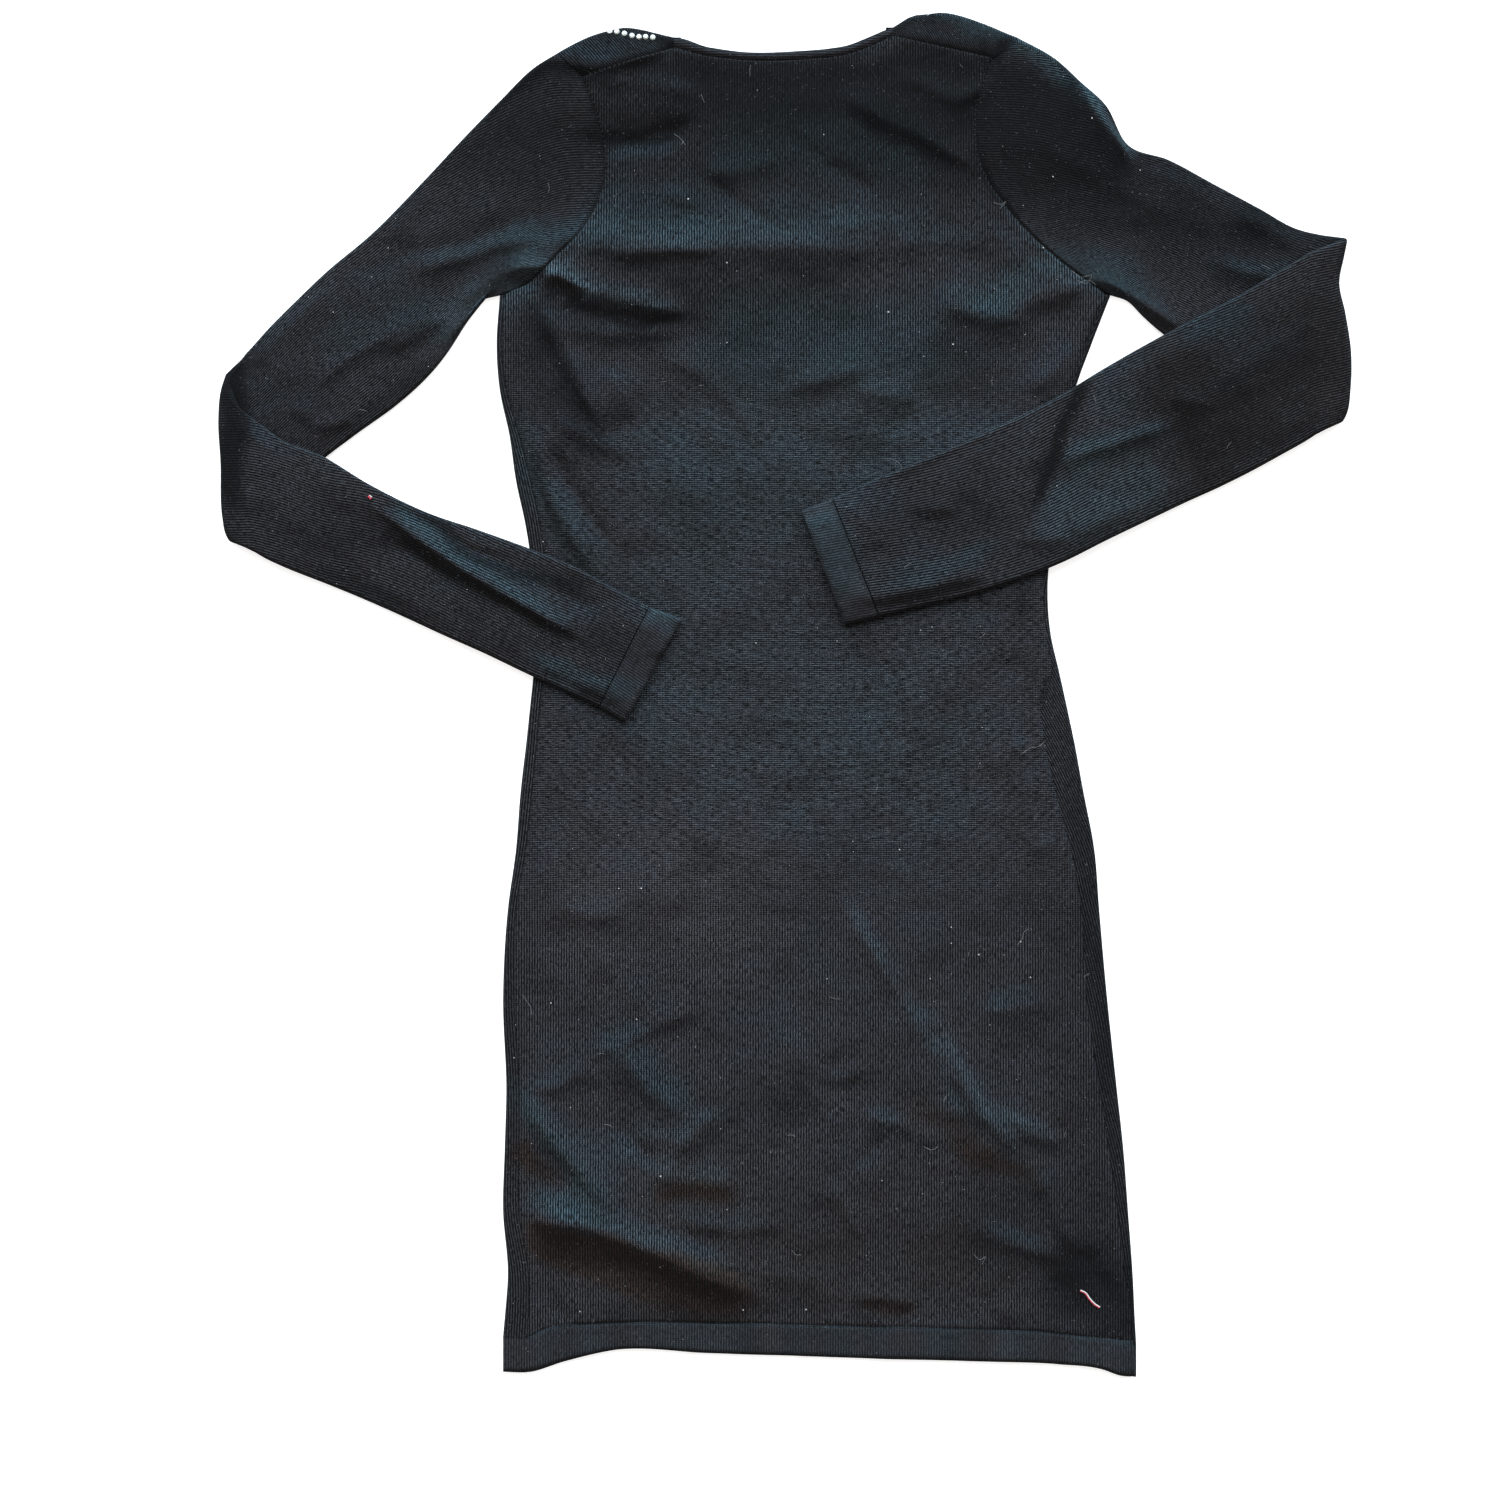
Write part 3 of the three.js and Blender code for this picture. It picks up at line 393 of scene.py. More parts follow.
backRelief = [  # height, spread towards the neck, spread towards the hem, crest
    # across the shoulders
    (3.2, 4, 5, [(-162, 822), (-140, 818), (-122, 811), (-95, 816), (-66, 825)]),
    (2.4, 6, 6, [(-126, 803), (-95, 803), (-44, 795)]),
    (-3.0, 3.4, 9, [(-135, 770), (-115, 766), (-90, 767), (-68, 774), (-50, 784)]),
    (3.2, 16, 5, [(30, 797), (62, 778), (81, 770), (99, 760), (126, 742)]),
    (2.4, 7, 4, [(62, 807), (85, 801), (99, 793), (107, 791), (124, 799), (140, 806)]),
    (1.6, 5, 6, [(62, 832), (95, 828), (130, 820)]),
    (-1.3, 4, 4, [(-66, 755), (-48, 742), (-25, 725), (8, 703)]),
    (1.5, 8, 6, [(-54, 744), (0, 753)]),
    (1.6, 7, 4, [(-80, 735), (-50, 724)]),
    (-1.0, 5, 6, [(-10, 775), (30, 750), (66, 728)]),
    # the long fold from arm to arm
    (5.6, 17, 30, [(-160, 700), (-80, 699), (0, 700), (84, 698)]),
    (2.8, 9, 16, [(-176, 688), (-150, 700), (-124, 709), (-90, 708)]),
    (1.2, 6, 8, [(22, 709), (48, 715), (76, 715)]),
    (2.0, 18, 14, [(60, 700), (100, 703), (146, 708)]),
    (1.6, 8, 4, [(-110, 694), (-70, 697), (-36, 696)]),
    # under the left arm
    (6.0, 10, 3.4, [(-180, 686), (-156, 687), (-138, 680), (-118, 669), (-92, 663), (-54, 657)]),
    (3.8, 18, 4, [(-158, 670), (-142, 640), (-124, 606), (-110, 582)]),
    (1.4, 8, 4, [(-154, 651), (-110, 645), (-58, 648)]),
    (1.9, 7, 5, [(-148, 597), (-118, 579), (-86, 568)]),
    (4.2, 15, 6, [(-168, 600), (-154, 562), (-138, 530), (-112, 490)]),
    (-2.6, 5, 8, [(-148, 582), (-131, 548), (-102, 506)]),
    (1.3, 6, 5, [(-112, 626), (-100, 606), (-94, 590)]),
    (1.2, 7, 5, [(-84, 634), (-52, 622), (-30, 600), (-14, 574)]),
    (0.9, 7, 6, [(-60, 596), (-36, 578), (-20, 556)]),
    # the middle of the back
    (1.5, 10, 5, [(-4, 611), (28, 618), (60, 626)]),
    (1.5, 7, 6, [(40, 612), (84, 605)]),
    (0.9, 8, 7, [(20, 590), (70, 580), (110, 590)]),
    # under the right arm
    (3.2, 12, 8, [(90, 668), (125, 656), (156, 656)]),
    (2.4, 5, 4, [(142, 662), (168, 671), (190, 680)]),
    (1.0, 3, 4, [(118, 747), (135, 722), (152, 703), (180, 684)]),
    (1.6, 5, 6, [(62, 559), (100, 574), (152, 596)]),
    (1.8, 7, 8, [(150, 610), (172, 626), (182, 640)]),
    (-3.0, 6, 6, [(146, 490), (145, 440), (149, 400), (156, 360)]),
    (1.4, 4, 6, [(138, 388), (152, 393), (166, 399)]),
    (1.2, 5, 6, [(150, 326), (166, 331), (182, 329)]),
    # the left side below the waist
    (5.0, 14, 8, [(-176, 192), (-155, 160), (-140, 142), (-122, 122), (-98, 94)]),
    (7.5, 17, 15, [(-180, 103), (-150, 98), (-125, 94), (-100, 86), (-75, 76), (-45, 61), (0, 46)]),
    (1.6, 8, 4, [(-160, 178), (-140, 180), (-120, 194)]),
    (2.6, 14, 8, [(-112, 210), (-85, 178), (-56, 156)]),
    (-1.8, 5, 6, [(-106, 162), (-92, 143), (-74, 128)]),
    (1.8, 9, 6, [(-70, 136), (-55, 150), (-44, 168)]),
    (1.3, 10, 3, [(-124, 198), (-95, 209), (-72, 220), (-46, 230)]),
    (2.6, 11, 9, [(-88, 124), (-22, 119)]),
    (2.0, 10, 4, [(-80, 98), (-30, 91), (12, 96)]),
    (1.0, 9, 6, [(-120, 262), (-96, 240), (-86, 222)]),
    (-1.4, 6, 7, [(-160, 60), (-142, 44), (-132, 30)]),
    (1.2, 8, 6, [(-150, 296), (-120, 284), (-94, 290)]),
    # the right side below the waist
    (1.8, 7, 4, [(36, 298), (58, 256), (76, 228), (90, 204)]),
    (2.5, 8, 4, [(94, 212), (106, 186), (118, 166), (134, 149), (154, 133)]),
    (1.7, 9, 5, [(132, 168), (150, 151), (176, 142)]),
    (1.8, 7, 6, [(42, 164), (74, 156), (102, 140)]),
    (2.2, 10, 4, [(154, 132), (168, 100), (180, 74)]),
    (2.0, 8, 5, [(112, 94), (140, 83), (176, 72)]),
    (2.2, 9, 6, [(36, 50), (60, 49), (84, 45)]),
    (1.4, 7, 4, [(26, 122), (40, 96), (52, 84)]),
    (-1.4, 5, 5, [(42, 130), (52, 138), (64, 150)]),
    (1.1, 7, 5, [(-8, 218), (14, 192), (30, 184), (60, 194)]),
    (1.0, 7, 5, [(8, 192), (22, 166), (40, 150)]),
    (1.4, 7, 6, [(120, 226), (140, 228), (166, 232)]),
    (-2.0, 7, 8, [(182, 82), (196, 60), (212, 34)]),
    (1.5, 7, 6, [(122, 66), (132, 48), (140, 30)]),
    (1.2, 6, 7, [(-20, 68), (10, 60), (30, 62)]),
]
armRelief = [
    # left shoulder
    (-2.0, 3, 3, [(-186, 780), (-172, 794), (-162, 804), (-149, 815), (-137, 813), (-124, 808), (-108, 808)]),
    # left upper arm
    (-2.2, 7, 8, [(-286, 680), (-250, 694), (-225, 699), (-198, 702), (-172, 714), (-140, 722)]),
    (3.0, 10, 5, [(-236, 684), (-200, 693), (-178, 701), (-140, 707)]),
    (1.4, 9, 8, [(-206, 662), (-184, 680), (-165, 686), (-146, 687)]),
    (1.8, 9, 5, [(-298, 604), (-272, 631), (-245, 645), (-208, 664)]),
    (1.4, 7, 5, [(-250, 634), (-205, 660)]),
    (-2.0, 5, 7, [(-346, 628), (-316, 619)]),
    (1.6, 8, 6, [(-308, 606), (-290, 590), (-262, 592)]),
    # right upper arm
    (3.4, 5, 11, [(170, 804), (192, 794), (197, 778), (207, 764), (222, 756)]),
    (2.8, 3, 13, [(276, 716), (300, 720), (312, 710), (344, 706)]),
    (2.4, 8, 7, [(256, 694), (285, 685), (320, 679)]),
    (2.8, 8, 5, [(180, 682), (200, 678), (220, 667), (250, 646)]),
    (1.4, 12, 10, [(150, 770), (200, 738), (252, 716)]),
]
forearmRelief = [
    # left forearm
    (4.4, 8, 3.0, [(-262, 546), (-228, 519), (-200, 500), (-175, 485), (-150, 471), (-112, 450)]),
    (-2.6, 5, 5, [(-246, 545), (-214, 527), (-195, 513), (-175, 506), (-140, 490), (-106, 472)]),
    (1.8, 8, 4, [(-156, 443), (-125, 428), (-100, 415)]),
    (-1.6, 6, 8, [(-254, 524), (-222, 504), (-196, 486)]),
    # right forearm
    (1.3, 9, 7, [(260, 608), (288, 630), (312, 645), (342, 662)]),
    (1.2, 8, 6, [(234, 606), (270, 602)]),
    (2.2, 8, 6, [(160, 564), (200, 577), (248, 592)]),
    (-4.2, 4.5, 5, [(194, 636), (183, 612), (175, 594), (168, 573), (160, 552), (152, 530)]),
    (-2.6, 5, 5, [(152, 550), (176, 561)]),
    (1.6, 9, 8, [(142, 517), (176, 521)]),
    (2.2, 9, 5, [(44, 478), (85, 487), (130, 497)]),
    (1.2, 8, 7, [(70, 540), (110, 535)]),
]

bodyTones = [  # painted light and shade: (lighter or darker, bluer or browner), spread towards the neck and the hem, line
    (-0.5, -0.1, 70, 34, [(-240, 720), (-120, 752), (0, 760), (120, 752), (300, 730)]),
    (-0.34, 0.0, 14, 26, [(-120, 800), (-50, 806), (50, 806), (140, 800)]),
    (-0.52, 0.0, 26, 26, [(70, 800), (140, 795), (220, 760)]),
    (-0.3, -0.1, 5, 4, [(-124, 834), (-106, 837), (-86, 836), (-60, 828)]),
    (-1.1, 0.0, 3, 3.4, [(-190, 776), (-176, 790), (-162, 804), (-149, 815), (-137, 813), (-121, 807), (-107, 810),
                         (-88, 819), (-66, 828)]),
    (0.4, 0.6, 5, 2.5, [(-172, 806), (-158, 816), (-144, 824), (-128, 822), (-112, 820), (-94, 826)]),
    (-0.8, 0.0, 2.6, 2.6, [(112, 846), (124, 828), (124, 806), (118, 778), (122, 752), (134, 730), (152, 708)]),
    (-0.8, 0.0, 26, 26, [(150, 64), (205, 50), (260, 40)]),
    (-0.3, 0.0, 40, 40, [(90, 110), (180, 95), (240, 90)]),
    (0.16, 0.0, 120, 80, [(-260, 390), (0, 380), (260, 390)]),
    (-0.3, 0.0, 12, 12, [(50, 806), (94, 796), (140, 786)]),
    (-0.34, 0.0, 46, 30, [(-290, 700), (-180, 770), (-90, 800), (60, 806), (190, 770), (330, 705)]),
    (-0.34, 0.0, 40, 34, [(110, 790), (180, 740), (250, 710), (330, 680)]),
    (-0.26, 0.0, 11, 11, [(50, 806), (92, 796), (136, 788)]),
    (-0.2, 0.1, 9, 9, [(48, 788), (80, 768), (112, 750)]),
    (0.3, 0.0, 12, 12, [(-150, 796), (-100, 792), (-40, 796)]),
    (0.3, 0.55, 7, 8, [(-150, 824), (-100, 830), (-60, 826)]),
    (0.25, 0.5, 9, 6, [(60, 840), (110, 842), (160, 824), (196, 796)]),
    (0.7, 0.8, 5, 7, [(84, 850), (117, 843), (143, 831), (165, 812), (184, 800), (200, 782)]),
    (1.3, 0.8, 5, 3, [(182, 812), (194, 790), (199, 776), (208, 766), (222, 756)]),
    (-1.3, 0.5, 3, 11, [(172, 812), (186, 792), (191, 778), (203, 756), (216, 738)]),
    (-0.8, 0.0, 3, 3, [(126, 806), (131, 815), (137, 824), (143, 832), (150, 842)]),
    (-0.8, 0.0, 3, 3, [(-134, 769), (-112, 766), (-90, 766), (-70, 772), (-52, 781)]),
    (-0.8, 0.0, 2.6, 3.4, [(-184, 688), (-150, 677), (-134, 664), (-95, 656), (-36, 654)]),
    (0.4, 0.5, 5, 3, [(-184, 700), (-150, 685), (-120, 673), (-86, 664), (-50, 660)]),
    (0.05, 0.9, 30, 24, [(-70, 742), (0, 765), (50, 765), (118, 740)]),
    (0.36, 0.7, 9, 9, [(-120, 762), (-90, 764), (-60, 768)]),
    (0.02, 0.5, 16, 18, [(-128, 736), (-90, 730), (-40, 726)]),
    (0.1, 0.55, 13, 14, [(-250, 694), (-170, 702), (-120, 711), (0, 716), (100, 712), (160, 704)]),
    (-0.22, 0.0, 12, 15, [(-130, 686), (-80, 684), (-10, 684), (50, 688)]),
    (0.08, 0.75, 30, 26, [(-70, 640), (0, 645), (110, 640)]),
    (-0.12, 0.35, 26, 22, [(80, 640), (150, 640)]),
    (0.38, 0.75, 14, 10, [(90, 668), (128, 668), (176, 690), (246, 664)]),
    (-0.3, 0.1, 10, 12, [(-170, 668), (-120, 656), (-50, 650)]),
    (-0.6, 0.1, 3, 26, [(-170, 705), (-158, 668), (-142, 640), (-124, 606), (-98, 560)]),
    (0.28, 0.6, 12, 10, [(-172, 610), (-158, 560), (-136, 520), (-108, 482)]),
    (0.34, 0.45, 70, 60, [(-130, 560), (0, 560), (150, 580)]),
    (0.27, 0.3, 90, 70, [(-160, 420), (0, 400), (170, 380)]),
    (0.36, -0.1, 50, 44, [(-160, 300), (-60, 300), (20, 280)]),
    (0.05, 0.08, 40, 40, [(-40, 250), (60, 250), (140, 270)]),
    (-0.2, -0.05, 26, 26, [(150, 330), (180, 250), (196, 150), (206, 80)]),
    (-0.34, 0.0, 5, 9, [(178, 420), (186, 330), (196, 250), (206, 120)]),
    (-0.16, -0.3, 50, 34, [(-150, 66), (0, 70), (120, 76), (210, 60)]),
    (-0.2, -1.9, 11, 17, [(-176, 92), (-140, 84), (-96, 73), (-50, 60), (-8, 44)]),
    (0.26, 0.7, 9, 9, [(-180, 118), (-140, 106), (-100, 90), (-60, 76), (-14, 64)]),
    (0.34, 0.8, 9, 9, [(-178, 190), (-152, 152), (-124, 116), (-100, 92)]),
    (-0.28, -0.9, 8, 8, [(-172, 146), (-152, 132), (-128, 120)]),
    (-0.22, -0.8, 7, 7, [(-88, 118), (-60, 116), (-26, 116)]),
    (0.12, 0.5, 12, 10, [(-124, 214), (-92, 196), (-52, 158)]),
    (-0.16, -0.5, 10, 8, [(60, 168), (100, 158), (150, 132)]),
    (0.2, 0.4, 8, 7, [(92, 178), (130, 154), (166, 142)]),
    (0.5, 0.4, 4, 4, [(34, 300), (47, 281), (57, 266), (62, 250)]),
    (0.36, 0.3, 4, 4, [(52, 256), (66, 242), (82, 224), (96, 196), (112, 164), (126, 150), (150, 135), (176, 130)]),
    (0.5, 0.3, 4, 3, [(84, 230), (94, 216), (114, 188), (122, 164), (128, 150)]),
    (0.4, 0.4, 6, 5, [(120, 166), (134, 163), (158, 156), (178, 138)]),
    (0.3, 0.3, 7, 5, [(40, 160), (57, 156), (94, 139), (110, 128)]),
    (-0.3, -0.6, 6, 7, [(98, 146), (114, 139), (150, 127), (166, 122)]),
    (0.3, 0.4, 7, 5, [(-110, 138), (-88, 148), (-39, 164), (-24, 170)]),
    (-0.14, -0.6, 6, 6, [(46, 46), (66, 44), (90, 44)]),
    (0.18, 0.3, 8, 8, [(118, 96), (144, 88), (174, 78)]),
    (0.14, 0.5, 9, 8, [(122, 234), (144, 238), (160, 240)]),
    (-0.12, -0.1, 14, 12, [(-150, 280), (-166, 230), (-172, 170)]),
    (0.9, 0.5, 12, 14, [(-236, 636), (-205, 656), (-186, 668), (-164, 680), (-140, 704)]),
    (0.0, 0.35, 14, 18, [(-300, 640), (-250, 655), (-200, 676)]),
    (-0.2, 0.2, 12, 14, [(-340, 606), (-300, 612), (-270, 600)]),
    (-1.5, -0.1, 10, 10, [(-344, 660), (-343, 590), (-342, 510)]),
    (-0.45, 0.2, 12, 10, [(262, 722), (310, 712), (372, 700)]),
    (-0.3, 0.0, 20, 20, [(220, 720), (290, 705), (372, 690)]),
    (0.18, 0.6, 7, 7, [(252, 690), (290, 684), (330, 694)]),
]
# painted light and shade on the forearms and cuffs, listed as in bodyTones
forearmTones = [
    (-0.16, -0.05, 60, 50, [(-345, 560), (-240, 500), (-110, 446), (-60, 440)]),
    (-1.3, -0.1, 9, 9, [(-344, 650), (-343, 590), (-342, 520)]),
    (-0.4, -0.1, 10, 10, [(-350, 626), (-330, 606), (-306, 590)]),
    (0.5, 0.8, 5, 5, [(-256, 552), (-240, 538), (-221, 519), (-200, 507), (-175, 491), (-128, 466)]),
    (-0.6, 0.5, 4, 5, [(-246, 545), (-214, 525), (-195, 512), (-175, 505), (-140, 490), (-106, 472)]),
    (-0.6, -0.1, 3.4, 4, [(-270, 530), (-234, 515), (-209, 499), (-187, 485), (-148, 468), (-106, 455)]),
    (0.3, 0.8, 7, 8, [(-170, 452), (-130, 434), (-84, 420)]),
    (-0.3, 0.0, 26, 26, [(-130, 450), (-92, 444), (-50, 440)]),
    (0.3, 0.6, 5, 8, [(-90, 486), (-70, 468), (-64, 452)]),
    (-0.62, -0.4, 46, 42, [(390, 670), (300, 620), (200, 580)]),
    (0.16, 0.7, 12, 12, [(240, 652), (270, 646), (300, 664)]),
    (0.16, 0.6, 9, 9, [(262, 604), (292, 632), (330, 650)]),
    (0.5, 0.7, 24, 22, [(250, 566), (200, 545), (150, 522)]),
    (0.26, 0.7, 7, 7, [(250, 592), (200, 576), (164, 560)]),
    (-0.18, 0.0, 34, 24, [(150, 548), (90, 530), (50, 516)]),
    (-1.5, -0.2, 4.5, 5, [(192, 632), (182, 612), (174, 594), (167, 573), (158, 548), (150, 528)]),
    (0.3, 0.5, 9, 8, [(226, 612), (200, 600), (190, 590)]),
    (0.2, 0.75, 12, 12, [(16, 540), (30, 514), (46, 478)]),
    (0.2, 0.6, 7, 8, [(50, 486), (100, 504), (150, 520)]),
]


# settings for the painted light and shade of the tone lists, and for the painted shade along seams
paintShade = {
    "crest": 2.4, "stray": 7, "strayOver": ((30, 21), (26, 22)),  # how far its edges stray, over what, and a seed
    "seamShade": 0.5, "seamReach": 1.3, "least": 0.02,
}
far = 99  # millimetres from any seam


def toneOf(light, blue):  # both from -1 to 1, as the cloth's second map holds them
    return np.clip(np.stack([0.5 + 0.5 * light, 0.5 + 0.5 * blue], -1), paintShade["least"], 1 - paintShade["least"])


def paintShadedAt(tones, x, y, fromSeam=far):  # painted light and shade: how light and how blue the knit looks, with a painted shade along the seams
    strayX, strayY = (paintShade["stray"] * softNoise(x, y, over, seed) for over, seed in paintShade["strayOver"])
    light, blue = (foldsAt([(tone[k], *tone[2:]) for tone in tones], x + strayX, y + strayY, paintShade["crest"])
                   for k in (0, 1))
    # painted shade along the seams, fading over seamReach millimetres
    return toneOf(light - paintShade["seamShade"] * np.exp(-(fromSeam / paintShade["seamReach"]) ** 2), blue)


flat = {  # heights of the layers, and the distances over which they come and go
    "cloth": 1.2, "turned": 1.5, "half": 2.0, "rest": 2.8, "puff": 1.3, "lap": 1.8, "tube": 0.6, "folds": 0.8,
    "deepest": -1.1, "lapFrom": (18, 42), "lapTo": (604, 644), "lapWide": (9, 40), "puffWide": 24,
    "puffTo": (786, 808), "soft": 14, "gap": 0.3,
}
# the walls are a little thinner than the solids, so that creases stay within these
walls = {"cloth": flat["cloth"] - 0.1, "hem": flat["turned"] - 0.2, "cuff": flat["turned"] - 0.3}


def crumple(x, y, seed):  # the small unevenness of worn knit
    sizes = ((1.3, 50, 0), (0.7, 24, 3), (0.32, 11, 5), (0.12, 5, 8))
    return sum(height * softNoise(x, y, size, seed + more) for height, size, more in sizes)


def bodyRelief(x, y):
    return flat["folds"] * foldsAt(backRelief + armRelief, x, y) + crumple(x, y, 1.5)


def backUnderside(x, y, left, right):
    lapped = smooth(y, *flat["lapFrom"]) * (1 - smooth(y, *flat["lapTo"]))
    overLap = flat["lap"] * lapped * (1 - smooth(right - x, *flat["lapWide"]))
    fromSide = np.minimum(x - left, right - x)
    puff = flat["puff"] * smooth(fromSide, 0, flat["puffWide"]) * (1 - smooth(y, *flat["puffTo"]))
    fromNeck = np.where((x > neckPoint[0]) & (x < neckPoint[1]), neckCurve(x) - y, far)
    soft = mix(smooth(fromSide, 0, flat["soft"]), 1, smooth(y, underarm, 700)) * smooth(fromNeck, -1, 12)
    return flat["rest"] + overLap + puff + np.maximum(flat["deepest"] - puff, bodyRelief(x, y)) * soft


def seamDip(distance, depth=0.5, reach=1.2):
    return depth * np.exp(-(distance / reach) ** 2)


def straightAcross(left, right, x):
    return mix(left[..., 1], right[..., 1], (x - left[..., 0]) / (right[..., 0] - left[..., 0]))


def neckColumn(share, start, end, sides, at):  # a share's place across a row that is split at the neck
    outer = mix(start, sides[0], share / at[0])
    inner = mix(sides[0], sides[1], (share - at[0]) / (at[1] - at[0]))
    other = mix(sides[1], end, (share - at[1]) / (1 - at[1]))
    return np.where(share <= at[0], outer, np.where(share >= at[1], other, inner))


# back panel

backPanel = {
    "columns": 128, "bodyRows": 222, "armholeRows": 56, "seamOver": 0.35, "neckShares": (0.2, 0.75),
    # how far a row has taken the form of the neck and shoulders, by its share of the armhole
    "neckPart": ([0, 0.35, 0.46, 0.58, 0.7, 0.85, 1], [0, 0, 0.2, 0.4, 0.6, 0.8, 1]),
    "pucker": 0.22, "puckerEvery": 1.15, "puckerWide": 5,
    "width": 350, "side": 641, "armhole": 155, "closeRows": 6,  # these many rows lie close together at an end
}
fromHemSeam = 105  # a row this far above the hem is level, the rows below it follow the hem's seam


def sideRows(leftOf, rightOf, bodyCount, topCount, firstShares):
    heights = mix(hemLevel, underarm, firstShares(bodyCount))[:-1]
    shares = firstShares(topCount, top=True)
    near = 1 - smooth(shares, 0, 0.06)
    sides = []
    for side, edge in (("left", leftOf), ("right", rightOf)):
        top = armhole[side](shares)
        top[:, 0] += (edge(underarm) - armholes[side][0][0]) * near
        sides.append(np.concatenate([np.stack([edge(heights), heights], -1), top]))
    level = np.r_[np.zeros(len(heights)), shares]
    return *sides, np.r_[heights, np.full(len(shares), underarm)], level


def backPoints(look):
    def rowShares(count, top=False):
        shares = closeAtEnds(count, look["armhole"] if top else look["side"])
        return np.r_[0, shares[look["closeRows"]:]] if top else np.r_[shares[:-look["closeRows"]], 1]
    left, right, heights, level = sideRows(
        lambda y: sideSeam(y) - look["seamOver"], backFold, look["bodyRows"], look["armholeRows"], rowShares)
    left, right = left[:, None], right[:, None]
    share = closeAtEnds(look["columns"], look["width"])[None, :]
    inBody = (level == 0)[:, None]
    hemPart = np.clip(1 - (heights - hemLevel) / fromHemSeam, 0, 1)[:, None]
    neckPart = np.interp(level, *look["neckPart"])[:, None]
    atNeck = neckColumn(share, left[..., 0], right[..., 0], neckPoint, look["neckShares"])
    topNeck = neckColumn(share, left[-1, :, 0], right[-1, :, 0], neckPoint, look["neckShares"])
    curve = shoulderLine(topNeck) - straightAcross(left[-1], right[-1], topNeck)
    x = mix(mix(left[..., 0], right[..., 0], share), atNeck, neckPart)
    y = straightAcross(left, right, x) + neckPart * curve
    y = y + hemPart * (hemSeam(x) - hemLevel)
    z = backUnderside(x, y, left[..., 0], right[..., 0]) + flat["cloth"]
    fromLeft, fromRight = x - left[..., 0], right[..., 0] - x
    fromHem, fromNeck = np.where(inBody, y - hemSeam(x), far), shoulderLine(x) - y
    fromSide = np.minimum(fromLeft, fromRight)
    puckers = look["pucker"] * np.sin(y / look["puckerEvery"] + 2 * softNoise(x, y, 12, 4))
    z += np.where(inBody, 0.5, 1) * puckers * np.exp(-(fromSide / look["puckerWide"]) ** 2)
    z -= seamDip(fromLeft) + seamDip(fromRight, 1.0, 1.8) + seamDip(fromHem, 0.3) + seamDip(fromNeck, 0.5, 1.4)
    seam = np.minimum(np.minimum(fromHem, fromNeck), np.minimum(fromLeft, np.where(inBody, far, fromRight)))
    return np.stack([x, y, z], -1), seam


points, seam = backPoints(backPanel)
tones = paintShadedAt(bodyTones, points[..., 0], points[..., 1], seam)
backTop = clothPiece("back_cloth", points, points[..., :2], tones, backKnit, walls["cloth"])
standFor(backTop, "back_panel")

# front panel, which turns over at both sides and at the top of both shoulders

frontPanel = {
    "bodyRows": 120, "armholeRows": 40, "lap": 7, "turn": 9, "strap": 16, "neck": 22, "foot": 0.7,
    "footSides": (-42, 45), "sag": 14, "wrapRows": 7, "underLap": 5, "lapRise": (42, 100), "lapFall": (550, 604),
    "steps": [0, 0.06, 0.14, 0.24, 0.35, 0.46, 0.58, 0.7, 0.85, 1],  # shares of the armhole
    "closed": 7,  # steps below the neck's opening
    "tuckedIn": (0, 2.2, 1.0),  # how far it goes in under the back panel
}


def halfTurn(edgeX, edgeY, wayX, wayY, share):  # share 0 on top, 1 on the surface
    radius = flat["half"]
    out = radius * (1 - np.sin(np.pi * share))
    height = radius + radius * np.cos(np.pi * share)
    return np.stack(np.broadcast_arrays(edgeX - wayX * out, edgeY - wayY * out, height), -1)


def frontRows(left, right, lapLeft, lapRight, yAt, look):
    rows = []
    turn = np.linspace(0, 1, look["turn"])
    surface = np.linspace(0, 1, 2 * look["strap"] + look["neck"] + 1)[1:-1]
    lap = np.linspace(0, 1, look["lap"])[:-1]
    for a, b, c, d, line in zip(left, right, lapLeft, lapRight, yAt):
        def onLayer(x, z):
            return np.stack([x, line(x), np.full(len(x), z)], -1)
        top = 2 * flat["half"]
        westLap = onLayer(mix(c, a + flat["half"], lap), top)
        eastLap = onLayer(mix(d, b - flat["half"], lap), top)[::-1]
        under = onLayer(mix(a + flat["half"], b - flat["half"], surface), 0)
        west = halfTurn(a, line(np.array([a]))[0], -1, 0, turn)
        east = halfTurn(b, line(np.array([b]))[0], 1, 0, turn[::-1])
        rows.append(np.concatenate([westLap, west, under, east, eastLap]))
    return np.array(rows)


